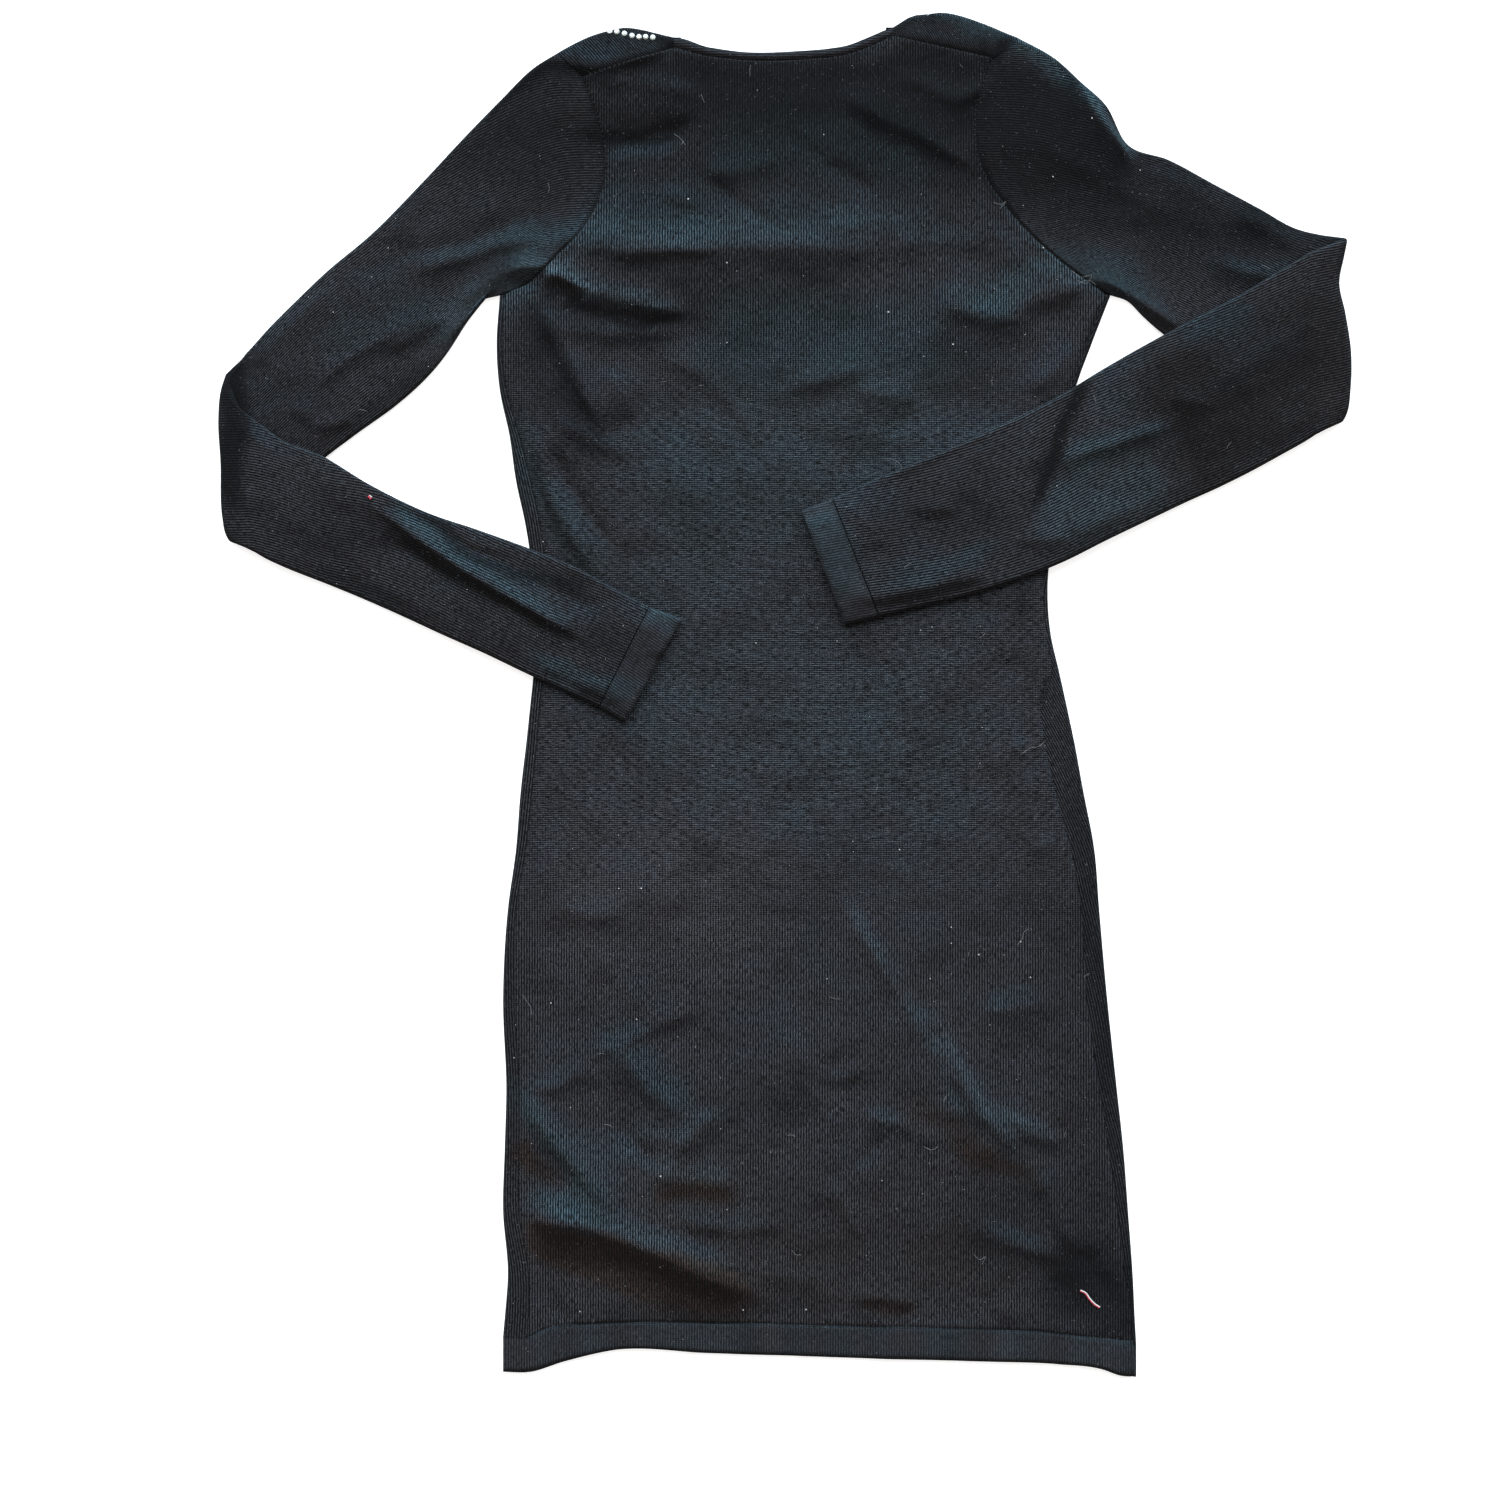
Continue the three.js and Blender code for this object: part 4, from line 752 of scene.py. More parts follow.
def frontPoints(look):
    heights = np.linspace(hemLevel, underarm, look["bodyRows"])
    lapOver = look["underLap"] * smooth(heights, *look["lapRise"]) * (1 - smooth(heights, *look["lapFall"]))
    hemPart = np.clip(1 - (heights - hemLevel) / fromHemSeam, 0, 1)
    lines = [lambda x, y=y, part=part: y + part * (hemSeam(x) - hemLevel) for y, part in zip(heights, hemPart)]
    lapEdges = sideSeam(heights), backFold(heights) - (lapOver - flat["gap"])
    body = frontRows(leftSide(heights), rightSide(heights), *lapEdges, lines, look)
    firstSurface = look["lap"] - 1 + look["turn"] - 1
    lastSurface = body.shape[1] - 1 - firstSurface
    spread = np.linspace(0, 1, lastSurface - firstSurface + 1)
    at = (look["strap"] / (len(spread) - 1), 1 - look["strap"] / (len(spread) - 1))
    upper = []
    for share in np.linspace(0, 1, look["armholeRows"])[1:]:
        left, right = armhole["left"](share), armhole["right"](share)
        steps = np.interp(share, look["steps"], range(len(look["steps"])))
        drawn = min(1, steps / look["closed"])
        opened = math.sqrt(max(0, steps - look["closed"]) / 2)
        sides = mix(np.array(look["footSides"]), np.array(neckPoint), opened)
        x = mix(mix(left[0], right[0], spread), neckColumn(spread, left[0], right[0], sides, at), drawn)
        fromMiddle = (2 * x - sides.sum()) / (sides[1] - sides[0])
        sag = look["sag"] * drawn**2 * np.maximum(0, 1 - fromMiddle**2)
        upper.append(np.stack([x, straightAcross(left, right, x) - sag, 0 * x], -1))
    seamRow = upper[-1]
    corner = np.clip(np.minimum(np.arange(len(spread)), np.arange(len(spread))[::-1]) / look["strap"], 0, 1)
    outward = np.where(seamRow[:, 0] < 0, shoulderTurn["left"][0] - armholes["left"][-1][0],
                       shoulderTurn["right"][0] - armholes["right"][-1][0])
    edgeX = seamRow[:, 0] + outward * (1 - corner)
    edgeY = frontTurn(edgeX)
    start = np.stack([edgeX, edgeY - flat["half"], 0 * edgeX], -1)
    wraps = [mix(seamRow, start, share) for share in np.linspace(0, 1, look["wrapRows"])[1:-1]]
    wraps += [halfTurn(edgeX, edgeY, 0, 1, share) for share in np.linspace(1, 0, look["turn"])]
    seamX, turned = seamRow[:, 0], wraps[-1]
    seam = np.stack([seamX, shoulderLine(seamX) - flat["gap"], np.full(len(seamX), 2 * flat["half"])], -1)
    for share in np.linspace(0, 1, look["wrapRows"])[1:]:
        row = mix(turned, seam, share)
        fromSeam = row[:, 1] - shoulderLine(row[:, 0])
        raised = np.maximum(flat["deepest"], bodyRelief(row[:, 0], row[:, 1]))
        row[:, 2] += raised * smooth(edgeY - row[:, 1], 2, 9) - seamDip(fromSeam)
        wraps.append(row)
    wraps.append(wraps[-1] - look["tuckedIn"])
    padded = [np.concatenate([np.repeat(row[:1], firstSurface, 0), row, np.repeat(row[-1:], firstSurface, 0)])
              for row in upper + wraps]
    points = np.concatenate([body, padded])
    keep = np.zeros((len(points) - 1, points.shape[1] - 1), bool)
    keep[:len(body) - 1] = True
    keep[len(body) - 1:, firstSurface:lastSurface] = True
    foot = len(body) - 1 + round(look["foot"] * (look["armholeRows"] - 1))
    keep[foot:, firstSurface + look["strap"]:lastSurface - look["strap"]] = False
    return points, keep, (firstSurface, lastSurface, foot)


def frontLengths(points):  # ribs run up the dress, also on the parts that are turned over
    return np.stack([distances(points, 1), points[..., 1]], -1)


frontGrid, keep, frontMarks = frontPoints(frontPanel)
tones = paintShadedAt(bodyTones, frontGrid[..., 0], frontGrid[..., 1])
frontPiece = clothPiece("front_cloth", frontGrid, frontLengths(frontGrid), tones, frontKnit, walls["cloth"], keep,
                        flip=True)
standFor(frontPiece, "front_panel")

# hem, turned up and stitched

hem = {
    "rows": 12, "columns": 150, "depth": 20, "near": (0, 0.5, 1.1, 2.0), "tuckedIn": (0, 2.2, -1.0),
    "width": 375, "tone": (-0.16, 0.16),
}


def hemBulge(share, depth):  # rounded at the folded edge, drawn in at the seam
    return -seamDip(share * depth, 0.9, 1.0) - seamDip((1 - share) * depth, 0.3, 1.0)


def hemTones(points):
    x, y = points[..., 0], points[..., 1]
    # a painted shade along the hem's seam, on top of a random tone
    light = hem["tone"][0] + 0.3 * softNoise(x, 0 * y, 16, 31) - 0.35 * np.exp(-((hemSeam(x) - y) / 1.2) ** 2)
    return toneOf(light, hem["tone"][1] + 0.5 * softNoise(x, 0 * y, 22, 32))


def backHemPoints(look):
    left, right = sideSeam(hemLevel), backFold(hemLevel)
    share = closeAtEnds(look["rows"], look["depth"], look["near"])[:, None]
    x = mix(left - backPanel["seamOver"], right, closeAtEnds(look["columns"], look["width"]))[None, :] + 0 * share
    y = mix(hemEdge(x), hemSeam(x), share)
    z = backUnderside(x, 0 * x + hemLevel, left, right) + flat["cloth"] + 0.2 + 0.5 * softNoise(x, y, 30, 6.0)
    z += hemBulge(share, look["depth"]) - seamDip(x - left) - seamDip(right - x, 0.9, 1.6)
    rows = np.stack([x, y, z], -1)
    return np.concatenate([rows, rows[-1:] + look["tuckedIn"]])


points = backHemPoints(hem)
backHem = clothPiece("back_hem_band", points, points[..., :2], hemTones(points), turnedCloth, walls["hem"])
standFor(backHem, "back_hem")


def frontHemPoints(look):
    shares = closeAtEnds(look["rows"], look["depth"], look["near"])
    lines = [lambda x, share=share: mix(hemEdge(x), hemSeam(x), share) for share in shares]
    edges = leftSide(hemLevel), rightSide(hemLevel), sideSeam(hemLevel), backFold(hemLevel) + flat["gap"]
    rows = frontRows(*([edge] * len(shares) for edge in edges), lines, frontPanel)
    rows[..., 2] += np.where(rows[..., 2] > flat["half"] + 1.5, hemBulge(shares[:, None], look["depth"]), 0)
    return rows


points = frontHemPoints(hem)
frontHem = clothPiece("front_hem_band", points, frontLengths(points), hemTones(points), turnedCloth, walls["hem"],
                      flip=True)
standFor(frontHem, "front_hem")

# neck binding

neckBinding = {"across": 9, "along": 120, "crown": 0.55, "frontRows": 5, "frontDeep": (0.1, 4.4), "light": -0.28,
               "ends": 7, "endsDown": 0.9}


def bindingPiece(name, points, solid, flip=False):
    tones = toneOf(np.full(points.shape[:2], neckBinding["light"]), np.zeros(points.shape[:2]))
    piece = clothPiece(name, points, points[..., 1::-1], tones, turnedCloth, walls["cloth"], flip=flip)
    return standFor(piece, solid)


def backBindingPoints(look):
    share = np.linspace(0, 1, look["across"])[:, None]
    x = np.linspace(neckPoint[0], neckPoint[1], look["along"])[None, :] + 0 * share
    fromEnds = np.minimum(x - neckPoint[0], neckPoint[1] - x)
    inEnds = 1 - smooth(fromEnds, 0, look["ends"])
    y = mix(neckCurve(x) - flat["gap"], neckTop(x) - 0.5 * inEnds, share)
    z = 2 * flat["half"] - 0.3 + look["crown"] * np.sin(np.pi * share)
    z = z + 0.1 * softNoise(x, y, 6, 2.0) - look["endsDown"] * inEnds
    return np.stack([x, y, z], -1)


backBinding = bindingPiece("back_neck_binding", backBindingPoints(neckBinding), "back_neck_band")


def frontBindingPoints(look):
    first, last, foot = frontMarks
    leftColumn, rightColumn = first + frontPanel["strap"], last - frontPanel["strap"]
    top = len(frontGrid) - frontPanel["wrapRows"] - 3
    left, right = frontGrid[foot:top, leftColumn], frontGrid[foot:top, rightColumn]
    bottom = frontGrid[foot, leftColumn:rightColumn + 1]
    edge = np.concatenate([left[::-1], bottom[1:-1], right])
    way = np.zeros_like(edge)
    way[:len(left), 0] = 1
    way[len(left) - 1:len(left) - 1 + len(bottom), 1] = 1
    way[-len(right):, 0] = -1
    return np.stack([edge + way * by for by in np.linspace(*look["frontDeep"], look["frontRows"])])


frontBinding = bindingPiece("front_neck_binding", frontBindingPoints(neckBinding), "front_neck_band", flip=True)
print("body ready")

# sleeves: flattened tubes that fold back at the elbow
# Each station gives the sleeve's outer edge and its other edge, from the armhole to the cuff.

sleeves = {
    "left": {
        "out": -1,
        "upper": [(-140, 822, -177, 671), (-156, 812, -190, 667), (-176, 792.5, -199, 652), (-198, 770, -209, 636),
                  (-226, 740, -222, 620), (-256, 709.5, -242, 602), (-284, 686, -267, 584), (-308, 663, -293, 564),
                  (-328, 643, -319, 540), (-341, 631, -341, 520)],
        "elbow": (-344, 622, -345, 518),
        "elbowEdge": [(500, 5), (518, 3.5), (524, 1), (532, -0.5), (568, -2), (594, -3.5), (612, -2), (622, 1),
                      (632, 3)],
        "fore": [(-335, 600, -330, 511), (-312, 581, -308, 501), (-287, 571, -285, 492), (-257, 553, -263, 483),
                 (-222, 536, -238, 472), (-190, 525, -212, 460), (-157, 513, -185, 448), (-130, 502, -160, 436),
                 (-106, 489, -136, 425), (-84, 477, -115, 415)],
        "cuffEnd": (-64, 470, -99, 406),
    },
    "right": {
        "out": 1,
        "upper": [(144, 831, 202, 671), (166, 819, 213, 667), (184, 803, 223, 657), (199, 789, 232, 649),
                  (212, 765, 243, 641), (238, 755, 261, 630), (266, 740, 281, 620), (294, 725, 303, 610),
                  (318, 712, 325, 600), (339, 707, 340, 594)],
        "elbow": (345, 706, 344, 592),
        "elbowEdge": [(580, -4), (592, -1.5), (598, 1), (613, 3), (635, 3.2), (660, -0.6), (679, -4.4), (695, -1.5),
                      (706, 0.5), (720, 0)],
        "fore": [(325, 697, 330, 584), (302, 683, 310, 573), (277, 668, 290, 562), (250, 654, 270, 552),
                 (222, 639, 248, 542), (196, 624, 225, 531), (170, 608, 200, 519), (142, 594, 172, 505),
                 (112, 580, 144, 494), (82, 567, 112, 484), (52, 555, 83, 477), (29, 544, 58, 471)],
        "cuffEnd": (10, 537, 37, 466),
    },
}
sleeveCut = {
    "across": 42, "turn": 7, "upperRows": 92, "elbowRows": 12, "foreRows": 120, "cuffRows": 12, "puff": 0.9,
    "shoulder": 0.1, "headBlend": (1, 0.75, 0.45, 0.2, 0), "clear": 0.7,
    "slope": (12, 130),  # past an edge that it lies over, a forearm comes down to the surface between these
    "bowEnd": 0.9,  # the seam's share goes with this power of the share across
    "edgeFrom": (318, 345),  # the edge at the elbow isn't quite straight, out from here
    "cuffPuff": 1.1, "cuffMore": 0.1, "tuckedIn": 2.4, "soft": 14,
    "upperLength": 260, "foreLength": 250, "near": (0.6, 1.6, 3),
    "turnedOver": 1.7,  # radians of the fold past which a sleeve has the forearm's tones
}


def ringPlaces(look):  # round a flattened sleeve: layer or turn, place across, angle
    flatShares = closeAtEnds(look["across"], 100, look["near"])
    angles = np.linspace(0.5, -0.5, look["turn"]) * np.pi
    kinds = [0] * len(flatShares) + [2] * len(angles) + [0] * len(flatShares) + [1] * len(angles)
    places = np.r_[flatShares, angles * 0, flatShares[::-1], angles * 0]
    turns = np.r_[flatShares * 0 + np.pi / 2, angles, flatShares * 0 - np.pi / 2, angles[::-1]]
    ring = np.stack([kinds, places, turns], -1)
    return np.concatenate([ring, ring[:1]])


def bodyTop(x, y):  # top of the body under a forearm, down to the surface past the body's edge
    level = np.clip(y, hemLevel, underarm)
    left, right = sideSeam(level), backFold(level)
    outside = np.maximum(leftSide(level) - x, x - rightSide(level))
    top = backUnderside(np.clip(x, left, right), y, left, right) + flat["cloth"]
    return (top + sleeveCut["clear"]) * (1 - smooth(outside, *sleeveCut["slope"]))


def sleevePoints(side, stations, turns, radius, puff, blends=0.0):
    out = sleeves[side]["out"]
    stations = np.asarray(stations, float)
    a, b = stations[:, None, :2], stations[:, None, 2:]
    width = np.linalg.norm(b - a, axis=-1)
    kind, place, angle = (column[None, :] for column in ringPlaces(sleeveCut).T)
    half = flat["half"]
    inTurn = radius * np.cos(angle)
    onLayer = mix(half, width - half, place)
    reach = np.where(kind == 1, half - inTurn, np.where(kind == 2, width - half + inTurn, onLayer))
    height = radius * np.sin(angle)
    share = reach / width
    blend = 0 * width + np.reshape(blends, (-1, 1))
    plan = mix(a, b, share[..., None]) + blend[..., None] * headBow(side, share)
    turn = np.asarray(turns, float)[:, None]
    edge = [(out * bx, by) for _, _, bx, by in sleeves[side]["upper"]]
    upperEdge = np.interp(out * plan[..., 0], *np.array(edge).T)
    overArm = (2 * half + flat["tube"]) * (1 - smooth(upperEdge - plan[..., 1], *sleeveCut["slope"]))
    lift = np.maximum(overArm, bodyTop(plan[..., 0], plan[..., 1]))
    onTop = turn > np.pi - 0.001
    axis = np.where(onTop, lift - flat["tube"] / 2, 2 * half + flat["tube"] / 2)
    seen = np.where(onTop, -1, 1) * np.sin(angle)
    fade = smooth(np.minimum(reach, width - reach), 0, sleeveCut["soft"])
    x, y = plan[..., 0], plan[..., 1]
    fore = flat["folds"] * foldsAt(forearmRelief, x, y) + crumple(x, y, 11.5 + out)
    relief = np.where(onTop, fore, bodyRelief(x, y))
    loft = puff * (1 - blend)
    fold = np.where(seen > 0.99, loft + np.maximum(-1, relief), 0) * fade
    fromAxis = half + flat["tube"] / 2 - height
    upright = np.where(onTop, 1, np.where(turn < 0.001, 1, np.cos(turn) ** 2))
    z = axis - fromAxis * np.cos(turn) + fold * upright
    return np.stack([x + out * fromAxis * np.sin(turn), y, z], -1)


def headBow(side, share):  # how far the sleeve head stands in from a straight line across
    under, top = np.array(armholes[side][0], float), np.array(shoulderTurn[side], float)
    seamShare = np.clip((1 - share) / (1 - sleeveCut["shoulder"]), 0, 1) ** (1 / sleeveCut["bowEnd"])
    onSeam = armhole[side](seamShare)
    overTop = mix(top, onSeam, np.clip(share / sleeveCut["shoulder"], 0, 1)[..., None])
    spot = np.where((share < sleeveCut["shoulder"])[..., None], overTop, onSeam)
    return spot - mix(top, under, share[..., None])


def alongStations(stations, shares):
    stations = np.array(stations, float)
    middleLine = (stations[:, :2] + stations[:, 2:]) / 2
    steps = distances(middleLine)
    at = shares * steps[-1]
    return np.stack([curveOver(steps, column)(at) for column in stations.T], -1), at, steps


def sleeveRun(side, look):
    sleeve = sleeves[side]
    upperShares = closeAtEnds(look["upperRows"], look["upperLength"])[:-6]
    upper, upperAt, upperSteps = alongStations(sleeve["upper"], upperShares)
    blends = np.interp(upperAt, upperSteps, np.r_[look["headBlend"], np.zeros(len(upperSteps) - 5)])
    fore = alongStations(sleeve["fore"], closeAtEnds(look["foreRows"], look["foreLength"])[:-1])[0]
    fold = np.linspace(0, 1, look["elbowRows"] + 2)[1:-1]
    before, elbow, after = upper[-1], np.array(sleeve["elbow"]), fore[0]
    bend = np.array([mix(before, elbow, 2 * s) if s < 0.5 else mix(elbow, after, 2 * s - 1) for s in fold])
    stations = np.concatenate([upper, bend, fore])
    turns = np.r_[np.zeros(len(upper)), fold * np.pi, np.full(len(fore), np.pi)]
    blends = np.r_[blends, np.zeros(len(bend) + len(fore))]
    points = sleevePoints(side, stations, turns, flat["half"], look["puff"], blends)
    fromHead = upperAt[:, None]
    points[:len(upper), :, 2] -= seamDip(fromHead) * np.sign(points[:len(upper), :, 2] - flat["half"])
    tucked = points[:1].copy()  # turned in under the body at the armhole
    tucked[..., 0] -= sleeve["out"] * look["tuckedIn"]
    tucked[..., 2] = mix(tucked[..., 2], flat["half"], 0.5)
    points = np.concatenate([tucked, points])
    strayed = curveOver(*zip(*sleeve["elbowEdge"]))(points[..., 1])
    points[..., 0] += strayed * smooth(np.abs(points[..., 0]), *look["edgeFrom"])
    x, y = points[..., 0], points[..., 1]
    fromHead = np.r_[0, upperAt, np.full(len(points) - len(upperAt) - 1, far)][:, None]
    onTop = np.r_[0, turns][:, None] > look["turnedOver"]
    tones = np.where(onTop[..., None], paintShadedAt(forearmTones, x, y), paintShadedAt(bodyTones, x, y, fromHead))
    return points, sleeveLengths(points), tones


def sleeveLengths(points):  # ribs follow the middle of the sleeve
    around = distances(points, 1)
    along = distances(points.mean(axis=1))[:, None] + 0 * around
    half = len(ringPlaces(sleeveCut)) // 4
    return np.stack([around - around[:, half:half + 1], along], -1)


def cuffRun(side, look):
    sleeve = sleeves[side]
    start, end = np.array(sleeve["fore"][-1], float), np.array(sleeve["cuffEnd"], float)
    deep = hem["depth"]
    shares = closeAtEnds(look["cuffRows"], deep, hem["near"])
    stations = np.array([mix(start, end, share) for share in shares])
    points = sleevePoints(side, stations, np.full(len(stations), np.pi), flat["half"] + look["cuffMore"],
                          look["cuffPuff"])
    drawnIn = seamDip(shares * deep, 0.3, 1.2) + seamDip((1 - shares) * deep, 0.4, 1)
    points[..., 2] -= drawnIn[:, None] * np.sign(points[..., 2] - points[..., 2].mean(axis=1, keepdims=True))
    tones = paintShadedAt(forearmTones, points[..., 0], points[..., 1], shares[:, None] * deep)
    return points, sleeveLengths(points), tones


sleevePieces = {}
for side in ("left", "right"):
    flip = side == "left"
    sleeve = clothPiece(side + "_sleeve_knit", *sleeveRun(side, sleeveCut), knitCloth, walls["cloth"], flip=flip)
    cuff = clothPiece(side + "_cuff_knit", *cuffRun(side, sleeveCut), turnedCloth, walls["cuff"], flip=flip)
    sleevePieces[side] = (standFor(sleeve, side + "_sleeve"), standFor(cuff, side + "_cuff"))
print("sleeves ready")

# small things that lie on the cloth: stones, stitches, lint and stray threads

laid = [backTop, frontPiece, backHem, frontHem, backBinding, frontBinding]
laid += [*sleevePieces["left"], *sleevePieces["right"]]
surfaces = [BVHTree.FromObject(piece, bpy.context.evaluated_depsgraph_get()) for piece in laid]


def onCloth(x, y):  # the highest spot of the cloth over a point of the pattern, and the way it faces
    start = Vector(((x - middle[0]) * mm, (y - middle[1]) * mm, 0.05))
    hits = [surface.ray_cast(start, Vector((0, 0, -1)), 0.06) for surface in surfaces]
    hits = [(spot, facing if facing.z > 0 else -facing) for spot, facing, _, _ in hits if spot is not None]
    return max(hits, key=lambda hit: hit[0].z) if hits else None


def plainMaterial(name, colour, roughness, specular=0.3):
    material = bpy.data.materials.new(name)
    material.use_nodes = True
    shader = material.node_tree.nodes["Principled BSDF"]
    shader.inputs["Base Color"].default_value = (*colour, 1)
    shader.inputs["Roughness"].default_value = roughness
    shader.inputs["Specular IOR Level"].default_value = specular
    return material


def copiesOf(model, name, places, material):  # one piece made of copies, each given as x, y, turn, size and lift
    model.data.materials.append(material)
    bpy.ops.object.select_all(action="DESELECT")
    copies = []
    for x, y, turn, size, lift in places:
        spot, facing = onCloth(x, y)
        copy = model.copy()
        copy.data = model.data.copy()
        bpy.context.collection.objects.link(copy)
        onSpot = Matrix.Translation(spot + facing * lift * mm)
        stand = facing.to_track_quat("Z", "Y").to_matrix().to_4x4()
        sized = Matrix.Diagonal((*[s * mm for s in size], 1))
        copy.data.transform(onSpot @ stand @ Matrix.Rotation(turn, 4, "Z") @ sized)
        copy.select_set(True)
        copies.append(copy)
    bpy.data.objects.remove(model)
    bpy.context.view_layer.objects.active = copies[0]
    if len(copies) > 1:
        bpy.ops.object.join()
    piece = bpy.context.view_layer.objects.active
    piece.name = piece.data.name = name
    print("made", name, "of", len(copies), "copies")
    return piece


def threadOn(name, points, width, material, lift=0.0):
    path = bpy.data.curves.new(name, "CURVE")
    path.dimensions = "3D"
    path.bevel_depth = width / 2 * mm
    path.bevel_resolution = 1
    spline = path.splines.new("POLY")
    along = pathThrough(points)(np.linspace(0, 1, 6 * len(points)))
    spline.points.add(len(along) - 1)
    for point, (x, y) in zip(spline.points, along):
        spot = onCloth(x, y)[0]
        point.co = (*(spot + Vector((0, 0, (lift + width / 2) * mm))), 1)
    piece = bpy.data.objects.new(name, path)
    bpy.context.collection.objects.link(piece)
    pick(piece)
    bpy.ops.object.convert(target="MESH")
    piece = bpy.context.object
    piece.data.materials.append(material)
    return piece


def settle(piece):
    pick(piece)
    bpy.ops.object.shade_smooth_by_angle(angle=math.radians(30))
    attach(piece, "root")


# clear stones on the left strap, and one at the right neck corner
stones = {
    "width": 3.7, "height": 1.3, "table": 0.55,
    "at": [(-108.7, 834.6), (-104.3, 834.1), (-99.6, 833.0), (-94.9, 831.7), (-90.6, 830.9), (-86.4, 831.0),
           (-82.0, 830.6)],
    "small": (88.7, 845.0, 1.3),
}
clearStone = plainMaterial("clear stone", (0.86, 0.95, 0.92), 0.08, 1.0)
places = [(x, y, k * 0.7, (stones["width"], stones["width"], stones["height"]), 0.35 * stones["height"])
          for k, (x, y) in enumerate(stones["at"])]
places.append((*stones["small"][:2], 0.3, (stones["small"][2],) * 3, 0.3))
bpy.ops.mesh.primitive_cone_add(vertices=8, radius1=0.5, radius2=0.5 * stones["table"], depth=1)
settle(copiesOf(bpy.context.object, "strap_stones", places, clearStone))

# stitches along the seams
stitch = {"pitch": 3.1, "size": (2.3, 0.42, 0.3), "in": 1.1}
blackThread = plainMaterial("black thread", (0.016, 0.0165, 0.019), 0.6)


def alongSeam(path):  # places of stitches along a path that is given by its share
    fine = path(np.linspace(0, 1, 400))
    steps = distances(fine)
    places = []
    for at in np.arange(stitch["pitch"] / 2, steps[-1], stitch["pitch"]):
        x, y = (np.interp(at, steps, column) for column in fine.T)
        ahead = [np.interp(at + 0.5, steps, column) - np.interp(at - 0.5, steps, column) for column in fine.T]
        places.append((x, y, math.atan2(ahead[1], ahead[0]), stitch["size"], 0.05))
    return places


inset = stitch["in"]


def below(low, high, curve):  # a seam across the dress, given by its height over x
    return lambda t: np.stack([mix(low, high, t), curve(mix(low, high, t)) - inset], -1)


seams = [
    below(-157, 212, hemSeam),
    lambda t: np.stack([sideSeam(mix(64, 655, t)) + inset, mix(64, 655, t)], -1),
    below(-122, -71, shoulderLine),
    below(69, 127, shoulderLine),
    below(-66, 64, neckCurve),
    lambda t: armhole["left"](0.03 + 0.94 * t) + (inset, 0),
    lambda t: armhole["right"](0.03 + 0.94 * t) - (inset, 0),
]
for side in ("left", "right"):
    before, ends = np.array(sleeves[side]["fore"][-2:], float).reshape(2, 2, 2)
    toElbow = (before - ends).mean(axis=0)
    toElbow *= inset / np.linalg.norm(toElbow)
    seams.append(lambda t, ends=ends, off=toElbow: mix(*ends, (0.05 + 0.9 * t)[:, None]) - off)
places = [place for seam in seams for place in alongSeam(seam)]
bpy.ops.mesh.primitive_uv_sphere_add(segments=6, ring_count=4, radius=0.5)
settle(copiesOf(bpy.context.object, "seam_stitches", places, blackThread))

# lint and stray fibres, which cling all over
chance = np.random.default_rng(11)
lint = {
    "specks": 520, "spread": ((-346, 346), (6, 842)), "least": 0.16, "more": 0.26, "long": 2.4,
    "bigSizes": (0.6, 0.95), "bigLong": 1.5,
    "bigSpecks": [  # where the photograph shows them
        (103, 279), (103, 269), (146, 270), (120, 262), (26, 247), (90, 247), (152, 248), (42, 332), (71, 327),
        (-103, 303), (-89, 303), (-127, 41), (-26, 42), (13, 42), (60, 122), (-77, 125), (-92, 222),
        (-145, 232), (-168, 198), (190, 780), (220, 748), (160, 700), (-246, 700), (-280, 660), (64, 660),
        (104, 640), (-36, 641), (168, 552), (-150, 518), (84, 463), (-18, 455), (-36, 690), (-60, 730),
        (166, 744), (24, 770)],
}
paleLint = plainMaterial("pale lint", (0.5, 0.5, 0.5), 0.9)
places = []
while len(places) < lint["specks"]:
    x, y = (chance.uniform(*ends) for ends in lint["spread"])
    if onCloth(x, y) and onCloth(x + 1.5, y) and onCloth(x - 1.5, y):
        size = lint["least"] + lint["more"] * chance.random() ** 3
        turn, length = chance.uniform(0, 6.28), size * chance.uniform(1, lint["long"])
        places.append((x, y, turn, (length, size, size * 0.7), 0.1))
for x, y in lint["bigSpecks"]:
    size = chance.uniform(*lint["bigSizes"])
    turn, length = chance.uniform(0, 6.28), size * chance.uniform(1, lint["bigLong"])
    places.append((x, y, turn, (length, size, size * 0.6), 0.15))
bpy.ops.mesh.primitive_ico_sphere_add(subdivisions=1, radius=0.5)
settle(copiesOf(bpy.context.object, "lint_specks", places, paleLint))

hair = {"short": 26, "reach": (1.2, 3.2), "width": 0.13, "lift": 0.05}
hairs = [
    [(146, 386), (152, 390), (157, 391), (161, 394)], [(-163, 237), (-160, 233), (-158, 230), (-157, 225)],
    [(144, 268), (147, 272), (148, 276), (151, 278)], [(4, 79), (7, 76), (10, 76)],
    [(117, 76), (121, 73), (124, 75), (122, 70)], [(86, 143), (91, 141), (95, 143)],
    [(-69, 771), (-65, 768), (-62, 764)], [(129, 728), (134, 727), (137, 729), (133, 724)],
    [(178, 686), (184, 682), (190, 683), (187, 678), (181, 680)], [(182, 678), (188, 680), (193, 677)],
    [(66, 569), (70, 567), (73, 563)], [(-21.4, 813.5), (-21.8, 810), (-21.7, 806.5)],
    [(-52, 795), (-50, 790)],
]
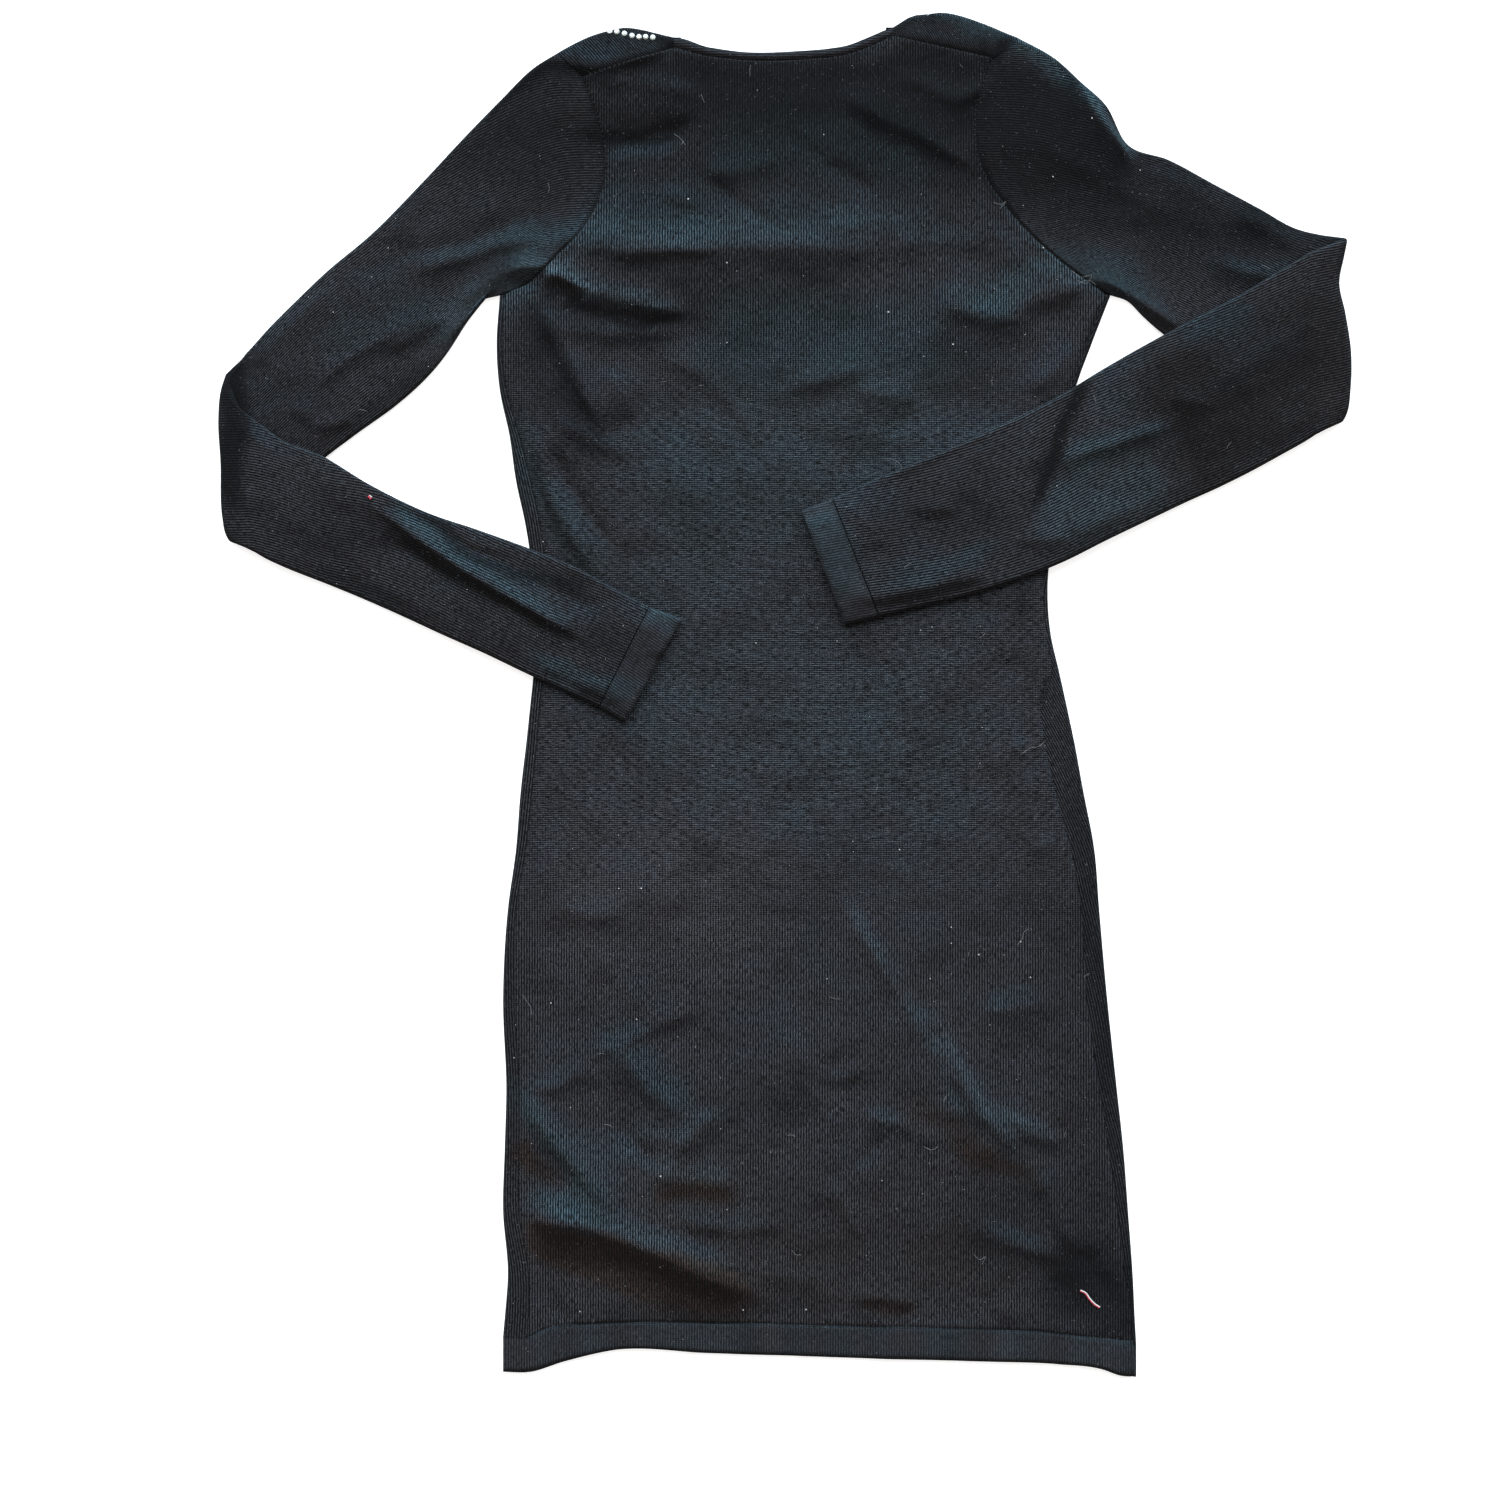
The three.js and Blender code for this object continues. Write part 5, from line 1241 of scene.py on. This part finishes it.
for _ in range(hair["short"]):  # these have no place of their own
    while True:
        x, y, turn = chance.uniform(-330, 330), chance.uniform(40, 820), chance.uniform(0, 6.28)
        reach = chance.uniform(*hair["reach"])
        bent = [(x + reach * math.cos(turn + b) * s, y + reach * math.sin(turn + b) * s)
                for s, b in ((-1, 0.0), (0.1, 1.2), (1, 0.5))]
        if all(onCloth(*spot) for spot in bent):
            break
    hairs.append(bent)
greyFibre = plainMaterial("grey fibre", (0.26, 0.27, 0.28), 0.9)
strands = [threadOn("hair", path, hair["width"], greyFibre, hair["lift"]) for path in hairs]
bpy.ops.object.select_all(action="DESELECT")
for strand in strands:
    strand.select_set(True)
bpy.context.view_layer.objects.active = strands[0]
bpy.ops.object.join()
strayHairs = bpy.context.object
strayHairs.name = strayHairs.data.name = "stray_hairs"
settle(strayHairs)

redThread = plainMaterial("red thread", (0.5, 0.05, 0.08), 0.7)
scrapPath = [(182.6, 53.9), (185.5, 52.6), (188.4, 48.8), (191, 46), (194.5, 43.6)]
scraps = [
    ("red_thread", scrapPath, 1.1, redThread, 0.1, "thread"),
    ("red_dot", [(-257.8, 545.8), (-256, 544)], 1.5, redThread, 0.1, "thread"),
    ("pale_dot", [(-257, 546.2), (-255.6, 545)], 0.8, paleLint, 0.9, "lint"),
    ("pale_thread", [(x + 0.3, y + 0.4) for x, y in scrapPath], 0.8, paleLint, 0.5, "thread"),
]
for name, path, width, material, lift, slot in scraps:
    settle(threadOn(name, path, width, material, lift))
print("small things ready")

# sizes and areas of the sleeves in metres, listed but not used: the loop only takes each sleeve and its cuff
for side, size, area, cuffRound in (("left", (0.32, 0.60), 0.094, 0.143), ("right", (0.34, 0.60), 0.113, 0.157)):
    piece, cuff = sleevePieces[side]

# camera, light and floor

view = {"centre": (-17.8 * mm, -37.6 * mm), "height": 1.9, "covers": 937.4 * mm, "sensor": 36}

bpy.ops.object.camera_add(location=(*view["centre"], view["height"]))
camera = bpy.context.object
camera.data.sensor_width = view["sensor"]
camera.data.lens = view["sensor"] * (view["height"] - 0.004) / view["covers"]
bpy.context.scene.camera = camera

bpy.ops.mesh.primitive_plane_add(size=12, location=(0, 0, -0.0004))
floor = bpy.context.object
floor.name = "floor"
paper = plainMaterial("pale floor", (0.6, 0.6, 0.6), 0.9, 0.5)
paperShader = paper.node_tree.nodes["Principled BSDF"]
paperShader.inputs["Emission Color"].default_value = (1, 1, 1, 1)
paperShader.inputs["Emission Strength"].default_value = 0.74  # a light table, so that its shadows stay pale
floor.data.materials.append(paper)

light = {  # strength, colour, elevation, azimuth and angle of each sun
    "window light": (7.6, (0.86, 0.96, 1.0), 32, 180, 80),
    "warm fill": (0.7, (1.0, 0.86, 0.74), 40, -10, 60),
}
roomLight = 0.2


def sun(name, strength, colour, elevation, azimuth, angle):
    bpy.ops.object.light_add(type="SUN", location=(0, 0, 2))
    lamp = bpy.context.object
    lamp.name = name
    lamp.data.energy = strength
    lamp.data.color = colour
    lamp.data.angle = math.radians(angle)
    lamp.rotation_euler = (math.radians(90 - elevation), 0, math.radians(azimuth))


for name, look in light.items():
    sun(name, *look)
room = bpy.data.worlds.new("pale room")
bpy.context.scene.world = room
room.use_nodes = True
room.node_tree.nodes["Background"].inputs["Color"].default_value = (1, 0.985, 0.97, 1)
room.node_tree.nodes["Background"].inputs["Strength"].default_value = roomLight
bpy.context.scene.view_settings.view_transform = "Standard"
